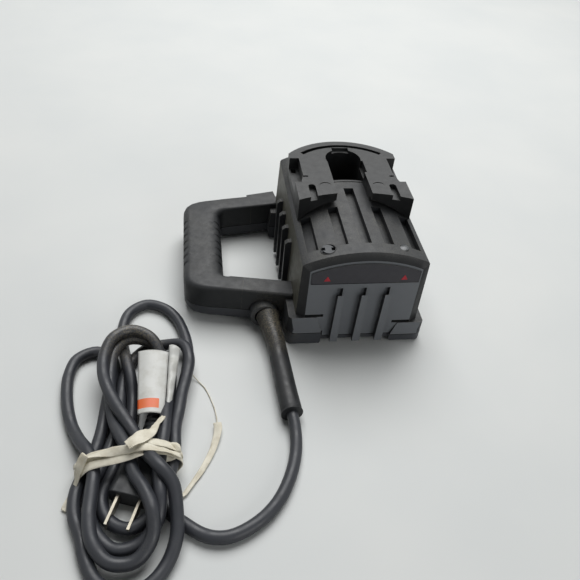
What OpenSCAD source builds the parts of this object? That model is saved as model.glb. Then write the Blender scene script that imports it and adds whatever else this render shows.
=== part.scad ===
// Battery charger for power tools: arched clamshell housing with a docking top, a carrying
// handle on the left, a reset button, a lamp and a two-pin mains lead wound in a hank.
// The sketch frame has x = 0 on the middle of the front panel, y = 0 on the front top edge,
// +Y to the back and z = 0 on the table. placed() moves it to the middle of the footprint.

/* [Housing] */
// Width across the shoulders
body_w = 87; // [84:0.5:92]
// Width across the bottom of the side walls
base_w = 90; // [88:0.5:96]
// Length of the top from its front edge to its back edge
top_len = 131.5; // [130:0.5:136]
// How far the lower part of the back stands behind the top
back_lean = 14.5; // [13:0.5:18]
// Height of the ledge above the lower part of the back
ledge_z = 30.5; // [28:0.5:32]
// How far the back leans out between the top and the ledge
back_tilt = 2.5; // [0:0.5:4]
// Height of the shoulders
shoulder_z = 71; // [69:0.5:73]
// Height of the crown of the arched top
crown_z = 81; // [80:0.5:83]
// Height of the underside above the table
underside_z = 4; // [3:0.5:5]
// Wall of the upper shell
shell_t = 2.5; // [2:0.1:3]
// Thickness of the arched roof
roof_t = 4.5; // [4:0.1:5.5]
// Thickness of the front wall
front_t = 4; // [3.5:0.1:4.4]
// Wall and floor of the lower shell
base_t = 2.5; // [2:0.1:3]
// Width of the bevel round the front panel
bevel_w = 5; // [4:0.5:7]
// Depth of the bevel round the front panel
bevel_d = 3; // [2:0.5:4]
// Bevel along the shoulders
shoulder_bevel = 1; // [0.5:0.5:4]
// Height of the parting line on the right
seam_low = 7; // [6.8:0.1:9]
// Height of the parting line on the left and round the handle
seam_high = 11.5; // [10.5:0.5:13]
// Distance of the step in the parting line from the middle
seam_step = 25; // [24:0.5:25]
// Height of the tongue that locates the upper shell
tongue_h = 2; // [1.5:0.5:3]
// Gap that shows along the parting line
seam_gap = 0.6; // [0.2:0.1:0.8]
// Clearance between parts that slide into each other
fit = 0.3; // [0.2:0.05:0.4]

/* [Front panel] */
// Number of upright ribs
rib_n = 3; // [3:2:3]
// Spacing of the ribs
rib_pitch = 16.5; // [14:0.5:18]
// Width of a rib at its foot
rib_w = 5.6; // [4.6:0.2:6.4]
// Width of a rib at its top
rib_tip_w = 4; // [3:0.2:5]
// How far a rib stands out from the panel
rib_proud = 4.5; // [3:0.5:6]
// Height of the top of the ribs
rib_top = 49.6; // [46:0.2:51]
// Height of the notch above each rib
rib_notch = 3; // [2:0.2:4]
// Depth of the notches above the ribs and of the grooves above the feet
pocket_d = 2.4; // [1:0.2:2.6]
// Width of the label plate
label_w = 74.5; // [68:0.5:75]
// Height of the bottom edge of the label plate
label_z = 57; // [55.5:0.5:60]
// Margin between the label plate and the edge of the panel
label_margin = 2; // [1.5:0.1:3]
// Thickness of the label plate
label_t = 0.5; // [0.3:0.1:0.8]

/* [Feet and fins] */
// Distance from the middle to the inner end of a foot
foot_in = 25.5; // [25.5:0.5:30]
// How far the feet stand out at the sides
foot_side = 6; // [5:0.5:7]
// How far the feet stand out at the front and back
foot_front = 2; // [1:0.5:3]
// How far the faces of a foot lean in above the parting line
foot_lean = 1.5; // [0.5:0.5:3]
// How far the inner end of a foot slants above the parting line
foot_slant = 4.5; // [2:0.5:7]
// Length of a foot along the side
foot_len = 26; // [20:1:28]
// Corner radius of a foot
foot_r = 8; // [6:0.5:10]
// Radius of the rounded underside of a foot
foot_edge = 4; // [3:0.5:6]
// Height of the feet on the left
left_foot_h = 26; // [22:1:28]
// Height of the feet on the right
right_foot_h = 18; // [15:1:24]
// Height of the shadow groove above each foot
shadow_h = 2.5; // [2:0.5:3]
// Number of fins on each side
fin_n = 4; // [3:1:4]
// Place of the first fin behind the front edge
fin_y = 47; // [45:0.5:54]
// Spacing of the fins
fin_pitch = 17.2; // [12:0.2:18]
// Thickness of a fin
fin_t = 4; // [3:0.5:5]
// How far a fin stands out
fin_proud = 3.5; // [2.5:0.5:6]
// Height of the top of the fins
fin_top = 55; // [44:1:58]

/* [Roof grooves] */
// Width of a roof groove
groove_w = 7.2; // [5:0.2:7.2]
// Depth of a roof groove
groove_d = 4.8; // [3:0.2:4.8]
// Wall of the trough under a roof groove
trough_t = 1.2; // [0.8:0.1:1.2]
// Distance of the inner pair of grooves from the middle
groove_inner_x = 15.8; // [14:0.2:15.8]
// Distance of the outer pair of grooves from the middle
groove_outer_x = 35.6; // [35.2:0.1:35.8]
// Distance of the grooves from the front edge
groove_front = 10; // [9:0.5:14]

/* [Dock] */
// Height of the flat top of the dock
dock_z = 90; // [89:0.5:93]
// Width of the dock
dock_w = 82; // [78:0.5:82]
// Radius of the rounded back of the dock
dock_r = 54; // [53:0.5:56]
// Distance of the centre of that radius from the front edge
dock_y = 74; // [72:0.5:76]
// Radius of the curved front ends of the prongs
prong_r = 102; // [96:1:110]
// Distance of the prong ends from the front edge, at the middle
prong_y = 56; // [55:0.5:58]
// Width of the channel between the prongs
channel_w = 25.6; // [24:0.2:27]
// Distance of the socket from the front edge
socket_y = 86; // [84:0.5:88]
// Length of the straight sides of the socket
socket_straight = 16; // [14:0.5:17]
// Radius of the round back of the socket
socket_r = 13.5; // [13.4:0.1:14]
// Wall of the socket well
well_t = 2; // [1.6:0.1:2.4]
// Height of the floor inside the socket well
well_z = 38; // [36:0.5:42]
// Inner radius of the arc slot
slot_r = 45; // [44.5:0.5:46]
// Width of the arc slot
slot_w = 3.5; // [2.5:0.5:4]
// Half angle of the arc slot
slot_angle = 41; // [36:1:44]
// Depth of the arc slot
slot_d = 5; // [3:0.5:6]
// Width of the ledge behind the socket
ledge_w = 13; // [8:0.5:16]
// Depth of the ledge behind the socket
ledge_d = 2.5; // [1:0.5:4]
// Height of a prong's end at its inner side, above the undercut
lip_h = 6; // [5:0.5:8]
// How far the undercut goes in under a prong's end
lip_d = 5.5; // [3:0.5:6]
// Width of the guide grooves in the prongs
guide_w = 5.2; // [4:0.2:6]
// Distance of a guide groove from the middle
guide_x = 29.7; // [28:0.1:30]
// Length of a guide groove behind the prong end
guide_len = 17; // [14:0.5:18]
// Depth of a guide groove
guide_d = 3.5; // [2.5:0.5:4]
// Distance from the middle to the side notches
notch_x = 36; // [35.6:0.1:37]
// Distance of the side notches from the front edge
notch_y = 70; // [68:0.5:72]
// Length of a side notch
notch_len = 32.5; // [28:0.5:33]
// Depth of a side notch
notch_d = 9; // [7:0.5:10]

/* [Handle] */
// Distance from the bottom of the left wall to the inside of the grip
finger_reach = 47.5; // [44:0.5:54]
// Width of the grip
grip_w = 29.5; // [26:0.5:32]
// Width of the arms
arm_w = 15.5; // [15.5:0.5:17]
// Half of the finger opening at the grip
gap_half = 41; // [38:0.5:41.5]
// Splay of the arms in degrees
splay = 9.5; // [8:0.5:10]
// Distance of the middle of the handle from the front edge
handle_y = 80.5; // [80:0.5:82]
// Height of the underside of the handle
handle_z0 = 2.5; // [2:0.5:3]
// Height of the top of the handle
handle_z1 = 30.5; // [29:0.5:33]
// Rounding of the finger opening's corners
gap_r = 6; // [4:0.5:8]
// Rounding of the arm edges
arm_edge = 2; // [1.6:0.1:4]
// Rounding of the inner edges of the grip
grip_edge_in = 9; // [6:0.5:9]
// Rounding of the outer edges of the grip
grip_edge_out = 5.5; // [4:0.5:8]
// Number of finger grooves across the sides of the grip
finger_n = 7; // [5:1:8]
// Spacing of the finger grooves
finger_pitch = 8.4; // [7:0.2:9]
// Width of a finger groove
finger_w = 2.8; // [2:0.2:4]
// Depth of a finger groove
finger_d = 0.8; // [0.4:0.1:1.2]
// Wall of the handle shells
handle_t = 2.3; // [2:0.1:2.5]
// Length of the front arm that is moulded on the housing
front_root = 33; // [31:0.5:36]
// Length of the rear arm that is moulded on the housing
rear_root = 21; // [16:0.5:24]
// How far the rear root widens backwards at the joint
flare_joint = 1; // [0.5:0.5:2]
// How far the rear root widens backwards at the wall
flare_wall = 2.8; // [2:0.2:3]
// Length of the spigots inside the handle shells
spigot_len = 7; // [5:0.5:9]

/* [Controls] */
// Distance of the reset button and the lamp from the middle
button_x = 26; // [25:0.5:27]
// Distance of the reset button from the front edge
button_y = 8; // [8:0.2:9]
// Diameter of the reset button
button_d = 8.8; // [8:0.2:10]
// Width of the shadow ring round the reset button
button_ring = 0.9; // [0.6:0.1:1.1]
// Travel of the reset button
button_travel = 2; // [1:0.2:2.4]
// Height of the button's face above the middle of its hole
button_proud = 0.4; // [0:0.2:1.6]
// Width of the bar across the button's face
button_bar = 4.4; // [3:0.2:5]
// Diameter of the button's stem
stem_d = 4.6; // [4:0.2:5]
// Wire of the button spring
spring_wire = 0.7; // [0.5:0.1:0.8]
// Diameter of the lamp lens
lens_d = 6; // [5:0.2:8]
// Height of the lens dome above the roof
lens_proud = 0.9; // [0.5:0.1:1.5]

/* [Transformer] */
// Width of the lamination stack
core_w = 66; // [60:1:66]
// Height of the lamination stack
core_h = 55; // [50:1:56]
// Thickness of the lamination stack
core_t = 34; // [28:1:34]
// Thickness of the bracket strap
strap_t = 1.2; // [0.8:0.1:1.4]
// Width of the bracket strap
strap_w = 28; // [22:1:28]
// Distance of the middle of the transformer from the front edge
core_y = 50; // [49:0.5:51]

/* [Circuit] */
// Width of the circuit board
board_w = 62; // [60:1:62]
// Length of the circuit board
board_len = 54; // [52:1:55]
// Height of the underside of the board
board_z = 14; // [12:0.5:15]
// Thickness of the board
board_t = 1.6; // [1:0.1:2]
// Diameter of the smoothing capacitor
cap_d = 15; // [12:0.5:15]
// Height of the smoothing capacitor
cap_h = 18; // [14:1:18]

/* [Fasteners] */
// Outer diameter of the screw posts
post_d = 7.6; // [7:0.1:7.8]
// Shank diameter of the housing screws
screw_d = 3.4; // [3:0.1:4]
// Head diameter of the housing screws
head_d = 6.4; // [6:0.1:6.6]
// Head height of the housing screws
head_h = 2; // [1.6:0.1:2]
// Shank diameter of the small screws
small_screw_d = 2.6; // [2:0.1:3]

/* [Cord] */
// Diameter of the mains lead
cord_d = 7.6; // [7.6:0.1:7.8]
// Diameter of the boot in the housing
boot_d = 15; // [14:0.2:15.4]
// Diameter of the strain relief at its thin end
relief_d = 12; // [11:0.2:12.6]
// Radius of the gland hump on the front arm
hump_r = 10; // [9.6:0.1:10.5]
// Height of the lead's axis in the gland
gland_z = 12; // [12:0.1:12.5]
// Length of the plug with its tail sleeve
plug_l = 50; // [44:1:52]
// Width of the plug
plug_w = 25; // [23:0.5:27]
// Thickness of the plug
plug_h = 13; // [11:0.5:14]
// Spacing of the plug blades
blade_pitch = 12.7; // [12.4:0.1:13]
// Length of the plug blades
blade_len = 17.5; // [16:0.5:19]
// Width of a plug blade
blade_w = 6.3; // [6:0.1:6.6]
// Thickness of a plug blade
blade_t = 1.5; // [1.2:0.1:1.8]

/* [Hidden] */
$fn = 64;
// Overlap of cuts past a face
over = 1;
// Height well above every part, for cuts that open upwards
sky = dock_z + 10;

// Colours
shell_grey = "#4a4c50";
dock_grey = "#54575b";
rubber_black = "#26272a";
label_black = "#2c2b2f";
pale_metal = "#b9bcc0";
brass = "#c2a14e";
copper = "#a8582c";
board_green = "#2f6b46";
cream = "#e6e3d8";

// Arched roof
arch_rise = crown_z - shoulder_z;
arch_r = (pow(body_w / 2, 2) + pow(arch_rise, 2)) / (2 * arch_rise);
arch_zc = crown_z - arch_r;
function arch_z(x, depth = 0) = arch_zc + sqrt(pow(arch_r - depth, 2) - x * x);

// Body planes
front_y = -bevel_d;
back_y = top_len + back_lean;
cavity_front = front_y + front_t;
ledge_drop = 4;
floor_z = underside_z + base_t;
function wall_x(z) = base_w / 2
    + (body_w - base_w) / 2 * (z - underside_z) / (shoulder_z - underside_z);

// Outline of everything but the lead, from which the middle of the footprint follows
grip_in_x = -(base_w / 2 + finger_reach);
grip_out_x = grip_in_x - grip_w;
foot_out_x = base_w / 2 + foot_side;
rib_face_y = front_y - rib_proud;
foot_back_y = back_y + foot_front;
mid_x = (grip_out_x + foot_out_x) / 2;
mid_y = (rib_face_y + foot_back_y) / 2;
module placed() translate([-mid_x, -mid_y, 0]) children();

// Extrusions of a drawing along X (drawn in y, z) and along Y (drawn in x, z)
module along_x(x0, x1) translate([x0, 0, 0]) rotate([90, 0, 90]) linear_extrude(x1 - x0) children();
module along_y(y0, y1) translate([0, y1, 0]) rotate([90, 0, 0]) linear_extrude(y1 - y0) children();
module round_rect(w, h, r) {
    translate([r, 0]) square([w - 2 * r, h]);
    translate([0, r]) square([w, h - 2 * r]);
    for (x = [r, w - r], y = [r, h - r]) translate([x, y]) circle(r, $fn = 32);
}

// ---------- housing: forms shared by the two shells ----------

// The body's outer form, with its faces moved inwards for a cavity or a tongue
module body_form(side = 0, roof = 0, front = 0, bottom = 0) {
    intersection() {
        translate([0, 0, arch_zc]) rotate([-90, 0, 0]) rotate_extrude($fn = 128)
            polygon([[0, front_y + front], [arch_r - roof - bevel_w, front_y + front],
                [arch_r - roof, front], [arch_r - roof, back_y - side], [0, back_y - side]]);
        along_y(front_y + front, back_y - side) polygon([
            for (s = [-1, 1], k = (s < 0 ? [0:3] : [3:-1:0])) [
                s * [base_w / 2 - side, body_w / 2 - side, body_w / 2 - side - shoulder_bevel,
                    body_w / 2 - side - shoulder_bevel][k],
                [underside_z + bottom, shoulder_z - shoulder_bevel,
                    arch_z(body_w / 2 - shoulder_bevel - side), sky][k]]]);
        along_x(-base_w, base_w) polygon([[front_y + front, underside_z + bottom],
            [back_y - side, underside_z + bottom], [back_y - side, ledge_z - ledge_drop - side],
            [top_len + back_tilt - side, ledge_z - side], [top_len - side, shoulder_z],
            [top_len - side, sky], [front_y + front, sky]]);
        linear_extrude(sky) polygon([
            [-body_w / 2 + bevel_w + side, front_y + front],
            [body_w / 2 - bevel_w - side, front_y + front],
            [base_w / 2 - side, front + bevel_d * (base_w - body_w) / (2 * bevel_w)],
            [base_w / 2 - side, back_y], [-base_w / 2 + side, back_y],
            [-base_w / 2 + side, front + bevel_d * (base_w - body_w) / (2 * bevel_w)]]);
    }
}

// Upright hooded ribs on the front panel: each narrows upwards, and its top falls away inwards
rib_edge = 1;
rib_fall = rib_proud + pocket_d;
module at_ribs() for (i = [0:rib_n - 1]) translate([(i - (rib_n - 1) / 2) * rib_pitch, 0, 0]) children();
module front_ribs() intersection() {
    at_ribs() along_y(rib_face_y - over, front_y + pocket_d) polygon([
        [-rib_w / 2 + rib_edge, underside_z], [rib_w / 2 - rib_edge, underside_z],
        [rib_w / 2, underside_z + rib_edge], [rib_tip_w / 2, rib_top],
        [-rib_tip_w / 2, rib_top], [-rib_w / 2, underside_z + rib_edge]]);
    along_x(-base_w, base_w) polygon([[rib_face_y, underside_z + rib_edge],
        [rib_face_y + rib_edge, underside_z], [front_y + pocket_d, underside_z],
        [front_y + pocket_d, rib_top - rib_fall], [rib_face_y, rib_top]]);
}
// Notch in the panel behind and above the top of each rib
module rib_notches() at_ribs() along_y(front_y - over, front_y + pocket_d)
    translate([-rib_tip_w / 2, rib_top - rib_fall]) square([rib_tip_w, rib_fall + rib_notch]);

// Fins on both side walls, bevelled at the top
module side_fins() {
    fin_x = base_w / 2 + fin_proud;
    for (i = [0:fin_n - 1], s = [-1, 1])
        along_y(fin_y + i * fin_pitch - fin_t / 2, fin_y + i * fin_pitch + fin_t / 2)
            polygon([[s * (base_w / 2 - shell_t), underside_z], [s * fin_x, underside_z],
                [s * fin_x, fin_top - fin_t / 2], [s * (fin_x - fin_t / 2), fin_top],
                [s * (base_w / 2 - shell_t), fin_top]]);
}

// Puts a form drawn for the right on side s: 1 right, -1 left
module on_side(s) mirror([s < 0 ? 1 : 0, 0, 0]) children();

// One corner bumper of height h, drawn for the right front; above the parting line its faces lean in
foot_toe = 1.5;
module foot(h, seam) {
    foot_y = front_y - foot_front;
    intersection() {
        along_y(foot_y, foot_len) intersection() {
            translate([foot_in, 0]) round_rect(foot_out_x - foot_in, h + foot_edge, foot_edge);
            polygon([[foot_in, 0], [foot_out_x, 0], [foot_out_x, seam], [foot_out_x - foot_lean, h],
                [foot_in + foot_slant, h], [foot_in, seam]]);
        }
        along_x(foot_in, foot_out_x) polygon([[foot_y + foot_toe, 0], [foot_y, foot_toe], [foot_y, seam],
            [foot_y + foot_lean, h], [foot_len, h], [foot_len, 0]]);
        linear_extrude(h) {
            translate([foot_out_x - foot_r, foot_y + foot_r]) circle(foot_r);
            translate([foot_in, foot_y]) square([foot_out_x - foot_in - foot_r, foot_len]);
            translate([foot_in, foot_y + foot_r]) square([foot_out_x - foot_in, foot_len - foot_r]);
        }
    }
}
module feet() {
    for (s = [-1, 1]) {
        h = s < 0 ? left_foot_h : right_foot_h;
        seam = s < 0 ? seam_high : seam_low;
        on_side(s) foot(h, seam);
        translate([0, front_y + back_y, 0]) mirror([0, 1, 0]) on_side(s) foot(h, seam);
    }
}

// Shadow grooves in the panel above the front feet
module foot_grooves() {
    for (s = [-1, 1])
        on_side(s) translate([foot_in, front_y - over, s < 0 ? left_foot_h : right_foot_h])
            cube([body_w / 2 - bevel_w - foot_in, over + pocket_d, shadow_h]);
}

// ---------- handle geometry in x and v, v being the distance from its middle plane ----------

arm_dir = [cos(splay), sin(splay)];
arm_out = [-sin(splay), cos(splay)];
grip_corner = [grip_in_x, gap_half];
fan_c = [grip_in_x + gap_r, gap_half - gap_r * (1 - sin(splay)) / cos(splay)];
fan_t = gap_r * (1 - sin(splay)) / cos(splay);
// Where each arm changes from housing to handle shell, along the arm's inner face
front_joint = (finger_reach - front_root) / cos(splay);
rear_joint = (finger_reach - rear_root) / cos(splay);

module front_side() translate([0, handle_y, 0]) mirror([0, 1, 0]) children();
module rear_side() translate([0, handle_y, 0]) children();
// Puts the drawing of an arm on its inner face at the joint
module on_arm(joint) translate(concat(grip_corner + joint * arm_dir, 0)) rotate([0, 0, splay]) children();
module arm_section(inset) translate([inset, handle_z0 + inset])
    round_rect(arm_w - 2 * inset, handle_z1 - handle_z0 - 2 * inset, max(arm_edge - inset, 0.4));
// Arm root on the housing: outside, and the hollow with the spigot's bore
spigot_t = 1.5;
front_root_len = front_root / cos(splay);
rear_root_len = rear_root / cos(splay);
root_skew = arm_w * tan(splay);
module root_outside(root) {
    along_x(0, root + root_skew) arm_section(0);
    along_x(-spigot_len, over) arm_section(handle_t + fit);
}
module root_hollow(root) {
    along_x(-spigot_len - over, base_t + over) arm_section(handle_t + fit + spigot_t);
    along_x(base_t, root) arm_section(base_t);
}
// The rear root widens backwards towards the wall
module rear_flare() translate([0, 0, handle_z0]) linear_extrude(handle_z1 - handle_z0) polygon([
    [0, arm_w / 2], [rear_root_len + root_skew, arm_w / 2],
    [rear_root_len + root_skew, arm_w + flare_wall], [0, arm_w + flare_joint]]);
module arm_roots() {
    front_side() on_arm(front_joint) root_outside(front_root_len);
    rear_side() on_arm(rear_joint) {
        root_outside(rear_root_len);
        rear_flare();
    }
}

// Gland hump on the front arm, where the lead comes in
gland_off = 19.5;
gland_x = grip_in_x + finger_reach - gland_off;
arm_center_v = gap_half + (finger_reach - gland_off) * tan(splay) + arm_w / 2;
arm_mid_y = handle_y - arm_center_v;
hump_len = 6;
hump_front_y = arm_mid_y - arm_w / 2 - hump_len;
module hump(r) translate([gland_x, hump_front_y, gland_z])
    rotate([-90, 0, 0]) cylinder(h = arm_mid_y - hump_front_y, r = r);
boot_end = [-62, -11.5, 11.2];
boot_start = [gland_x, arm_mid_y - 4.2, gland_z];
boot_len = norm(boot_end - boot_start);
// A round bar along the line of the boot, between two distances from its inner end
module boot_line(from, to, d) {
    v = boot_end - boot_start;
    u = v / norm(v);
    translate(boot_start + from * u) rotate([0, acos(u[2]), atan2(u[1], u[0])])
        cylinder(h = to - from, d = d);
}
module gland_bore() {
    boot_line(-over / 2, boot_len, boot_d + fit);
    translate([gland_x, boot_start[1] - over, gland_z]) rotate([-90, 0, 0])
        cylinder(h = arm_mid_y - boot_start[1] + over, d = boot_d + 5 * fit);
}

// Everything below the stepped parting line, with the whole gland hump; gap clears the upper shell
module lower_region(gap = 0) {
    near_y = min(hump_front_y, front_y - foot_front) - over;
    region_len = back_y - near_y + flare_wall + over + foot_front;
    translate([grip_out_x - over, near_y, -over])
        cube([-seam_step - grip_out_x + over + gap, region_len, seam_high + over + gap]);
    translate([-seam_step - over, near_y, -over]) cube([base_w, region_len, seam_low + over + gap]);
    hump(hump_r + gap);
}

// Outer forms of both shells together
module housing_outside() {
    difference() {
        body_form();
        rib_notches();
        foot_grooves();
    }
    front_ribs();
    side_fins();
    feet();
    arm_roots();
    hump(hump_r);
}

// Hollows that both shells share
module arm_hollows() {
    front_side() on_arm(front_joint) root_hollow(front_root_len + root_skew + shell_t + over);
    rear_side() on_arm(rear_joint) root_hollow(rear_root_len);
    gland_bore();
}

// ---------- upper shell ----------

breaker_w = 14;
post_x = max(wall_x(seam_high) - shell_t - post_d / 2 + 0.4,
    button_x + breaker_w / 2 + 2 * fit + post_d / 2);
front_post_y = cavity_front + post_d / 2 + 3.6;
rear_post_y = socket_y + socket_straight + 15;
post_foot_z = board_z + 0.2;
screw_reach = 14;
module at_posts() for (s = [-1, 1], y = [front_post_y, rear_post_y]) translate([s * post_x, y, 0]) children();

dock_screw_x = 24;
dock_screw_ys = [prong_y + 8, socket_y + socket_straight - 2];
dock_pad_z = arch_z(dock_screw_x + 4, roof_t) - 1;
module at_dock_screws() for (s = [-1, 1], y = dock_screw_ys) translate([s * dock_screw_x, y, 0]) children();

button_z = arch_z(button_x);
ring_depth = 2.5;
collar_z = arch_z(button_x + button_d / 2 + 2, roof_t) - 1;

// One roof groove, or the trough round it with wall grow: straight sides, floor parallel to the arch
module roof_groove(x, back, grow) {
    difference() {
        translate([x - groove_w / 2 - grow, groove_front - grow, shoulder_z - 2 * roof_t])
            cube([groove_w + 2 * grow, back - groove_front + 2 * grow, sky]);
        arch_cylinder(-groove_d - grow);
    }
}
function prong_front(x) = prong_y - prong_r + sqrt(prong_r * prong_r - x * x);
middle_groove_gap = 10.7;
module roof_grooves(grow = 0) {
    roof_groove(0, socket_y - middle_groove_gap, grow);
    for (s = [-1, 1]) {
        roof_groove(s * groove_inner_x, prong_front(groove_inner_x) - 2, grow);
        roof_groove(s * groove_outer_x, prong_front(groove_outer_x) - 2.4, grow);
    }
}

breaker_l = 16;
breaker_h = 26;
breaker_z1 = collar_z - 9;
cheek_t = 1.4;
module top_housing() color(shell_grey) placed() difference() {
    union() {
        difference() {
            housing_outside();
            body_form(side = shell_t, roof = roof_t, front = front_t, bottom = base_t);
        }
        intersection() {
            union() {
                at_posts() translate([0, 0, post_foot_z]) cylinder(h = sky, d = post_d);
                at_dock_screws() translate([0, 0, dock_pad_z]) cylinder(h = sky, d = head_d + 2);
                roof_grooves(trough_t);
                // Collar the button's lugs stop against
                translate([-button_x, button_y, collar_z]) cylinder(h = sky, d = button_d + 4);
                // Cheeks that hold the overload breaker
                for (s = [-1, 1]) translate([-button_x + s * (breaker_w / 2 + fit + cheek_t / 2)
                    - cheek_t / 2, cavity_front - over, breaker_z1 - breaker_h])
                    cube([cheek_t, breaker_l + over, sky]);
            }
            body_form(side = shell_t / 2, roof = roof_t / 2, front = front_t / 2);
        }
    }
    lower_region(seam_gap);
    arm_hollows();
    roof_grooves();
    at_posts() translate([0, 0, post_foot_z - over]) cylinder(h = screw_reach + over, d = screw_d + 0.1);
    at_dock_screws() cylinder(h = sky, d = small_screw_d + fit);
    translate([-button_x, button_y, collar_z - over]) cylinder(h = sky, d = button_d + 2 * fit);
    translate([-button_x, button_y, button_z - ring_depth]) cylinder(h = sky, d = button_d + 2 * button_ring);
    translate([button_x, button_y, shoulder_z - roof_t * 2]) cylinder(h = sky, d = lens_d + fit);
    // Opening for the socket well
    translate([0, 0, arch_z(dock_w / 2, roof_t)]) linear_extrude(sky) socket_outline(well_t + fit);
}

// ---------- lower shell ----------

tongue_t = 1.2;
base_side = shell_t + fit + tongue_t;
base_front = front_t + fit + tongue_t;
board_y = back_y - base_t - shell_t - 3 - board_len;
board_hole_x = board_w / 2 - 4;
board_hole_ys = [board_y + 4, board_y + board_len - 4];
module at_board_screws() for (s = [-1, 1], y = board_hole_ys) translate([s * board_hole_x, y, 0]) children();

core_z = floor_z + 1.5;
bracket_z = core_z + 4;
bracket_x = core_w / 2 + strap_t + 3.2;
module at_bracket_screws() for (s = [-1, 1]) translate([s * bracket_x, core_y, 0]) children();

clamp_xs = [gland_x - 8, gland_x + 8];
clamp_y = arm_mid_y - 1;
clamp_z = gland_z + cord_d / 2 + 0.2;
module at_clamp_screws() for (x = clamp_xs) translate([x, clamp_y, 0]) children();

vent_n = 6;
vent_w = 3;
vent_len = 34;
vent_pitch = 9;
module floor_vents() {
    for (i = [0:vent_n - 1], y = [core_y - vent_len / 2, board_y + board_len / 2 - vent_len / 2])
        translate([(i - (vent_n - 1) / 2) * vent_pitch - vent_w / 2, y, underside_z - over])
            cube([vent_w, vent_len, base_t + 2 * over]);
}

module base_housing() color(shell_grey) placed() difference() {
    union() {
        intersection() {
            difference() {
                housing_outside();
                body_form(side = base_side, roof = roof_t, front = base_front, bottom = base_t);
            }
            lower_region();
        }
        // Tongue that stands inside the upper shell
        intersection() {
            difference() {
                body_form(side = shell_t + fit, roof = roof_t, front = front_t + fit);
                body_form(side = base_side, roof = roof_t, front = base_front);
            }
            union() {
                translate([-base_w, 0, seam_low - over]) cube([2 * base_w, back_y, tongue_h + over]);
                translate([-base_w, 0, seam_high - over]) cube([base_w - seam_step, back_y, tongue_h + over]);
            }
        }
        intersection() {
            at_posts() translate([0, 0, underside_z]) cylinder(h = board_z - underside_z, d = post_d + 0.6);
            body_form(side = shell_t + fit, front = front_t + fit);
        }
        at_board_screws() translate([0, 0, underside_z]) cylinder(h = board_z - underside_z, d = 6);
        at_bracket_screws() translate([0, 0, underside_z]) cylinder(h = bracket_z - underside_z, d = 6);
        // Rails under the transformer
        for (s = [-1, 1]) translate([s * core_w / 4 - 3, core_y - core_t / 2, underside_z])
            cube([6, core_t, core_z - underside_z]);
        // Bosses for the cord clamp
        at_clamp_screws() translate([0, 0, handle_z0]) cylinder(h = clamp_z - handle_z0, d = 5);
    }
    arm_hollows_base();
    floor_vents();
    at_posts() translate([0, 0, underside_z - over]) cylinder(h = sky, d = screw_d + fit);
    at_posts() translate([0, 0, underside_z - over]) cylinder(h = head_h + 0.4 + over, d = head_d + fit);
    at_board_screws() translate([0, 0, floor_z]) cylinder(h = sky, d = small_screw_d + 0.1);
    at_bracket_screws() translate([0, 0, floor_z - 1]) cylinder(h = sky, d = small_screw_d + 0.1);
    at_clamp_screws() translate([0, 0, handle_z0 + 4]) cylinder(h = sky, d = small_screw_d + 0.1);
}
// The arm hollows, less the bosses of the cord clamp that stand in them
module arm_hollows_base() difference() {
    arm_hollows();
    at_clamp_screws() translate([0, 0, handle_z0]) cylinder(h = clamp_z - handle_z0, d = 5);
}

// ---------- handle shells ----------

// Radius of the outer outline round a grip corner, from the fan's centre
function fan_r(q) = pow(pow(cos(q) / (gap_r + arm_w), 3) + pow(sin(q) / (gap_r + grip_w), 3), -1 / 3);
fan_n = 9;
arm_n = 2;
function side_stations(joint) = concat(
    [for (i = [0:arm_n]) let (t = joint + (fan_t - joint) * i / (arm_n + 1), p = grip_corner + t * arm_dir)
        [p, p + arm_w * arm_out, 0]],
    [for (i = [0:fan_n]) let (q = 90 * i / fan_n, a = splay + q * (90 - splay) / 90, u = [-sin(a), cos(a)])
        [fan_c + gap_r * u, fan_c + fan_r(q) * u, i / fan_n]]);
function flip(s) = [for (p = s) [[p[0][0], -p[0][1]], [p[1][0], -p[1][1]], p[2]]];
function reverse(l) = [for (i = [len(l) - 1:-1:0]) l[i]];
// Each finger groove takes four stations: its two rims and the two ends of its floor
grip_stations = [for (i = [0:finger_n - 1], k = [0:3]) let (
        v = ((finger_n - 1) / 2 - i) * finger_pitch + finger_w * [0.5, 0.25, -0.25, -0.5][k],
        d = finger_d * [0, 1, 1, 0][k])
    [[grip_in_x - d, v], [grip_out_x + d, v], 1]];
stations = concat(side_stations(front_joint), grip_stations, reverse(flip(side_stations(rear_joint))));

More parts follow.
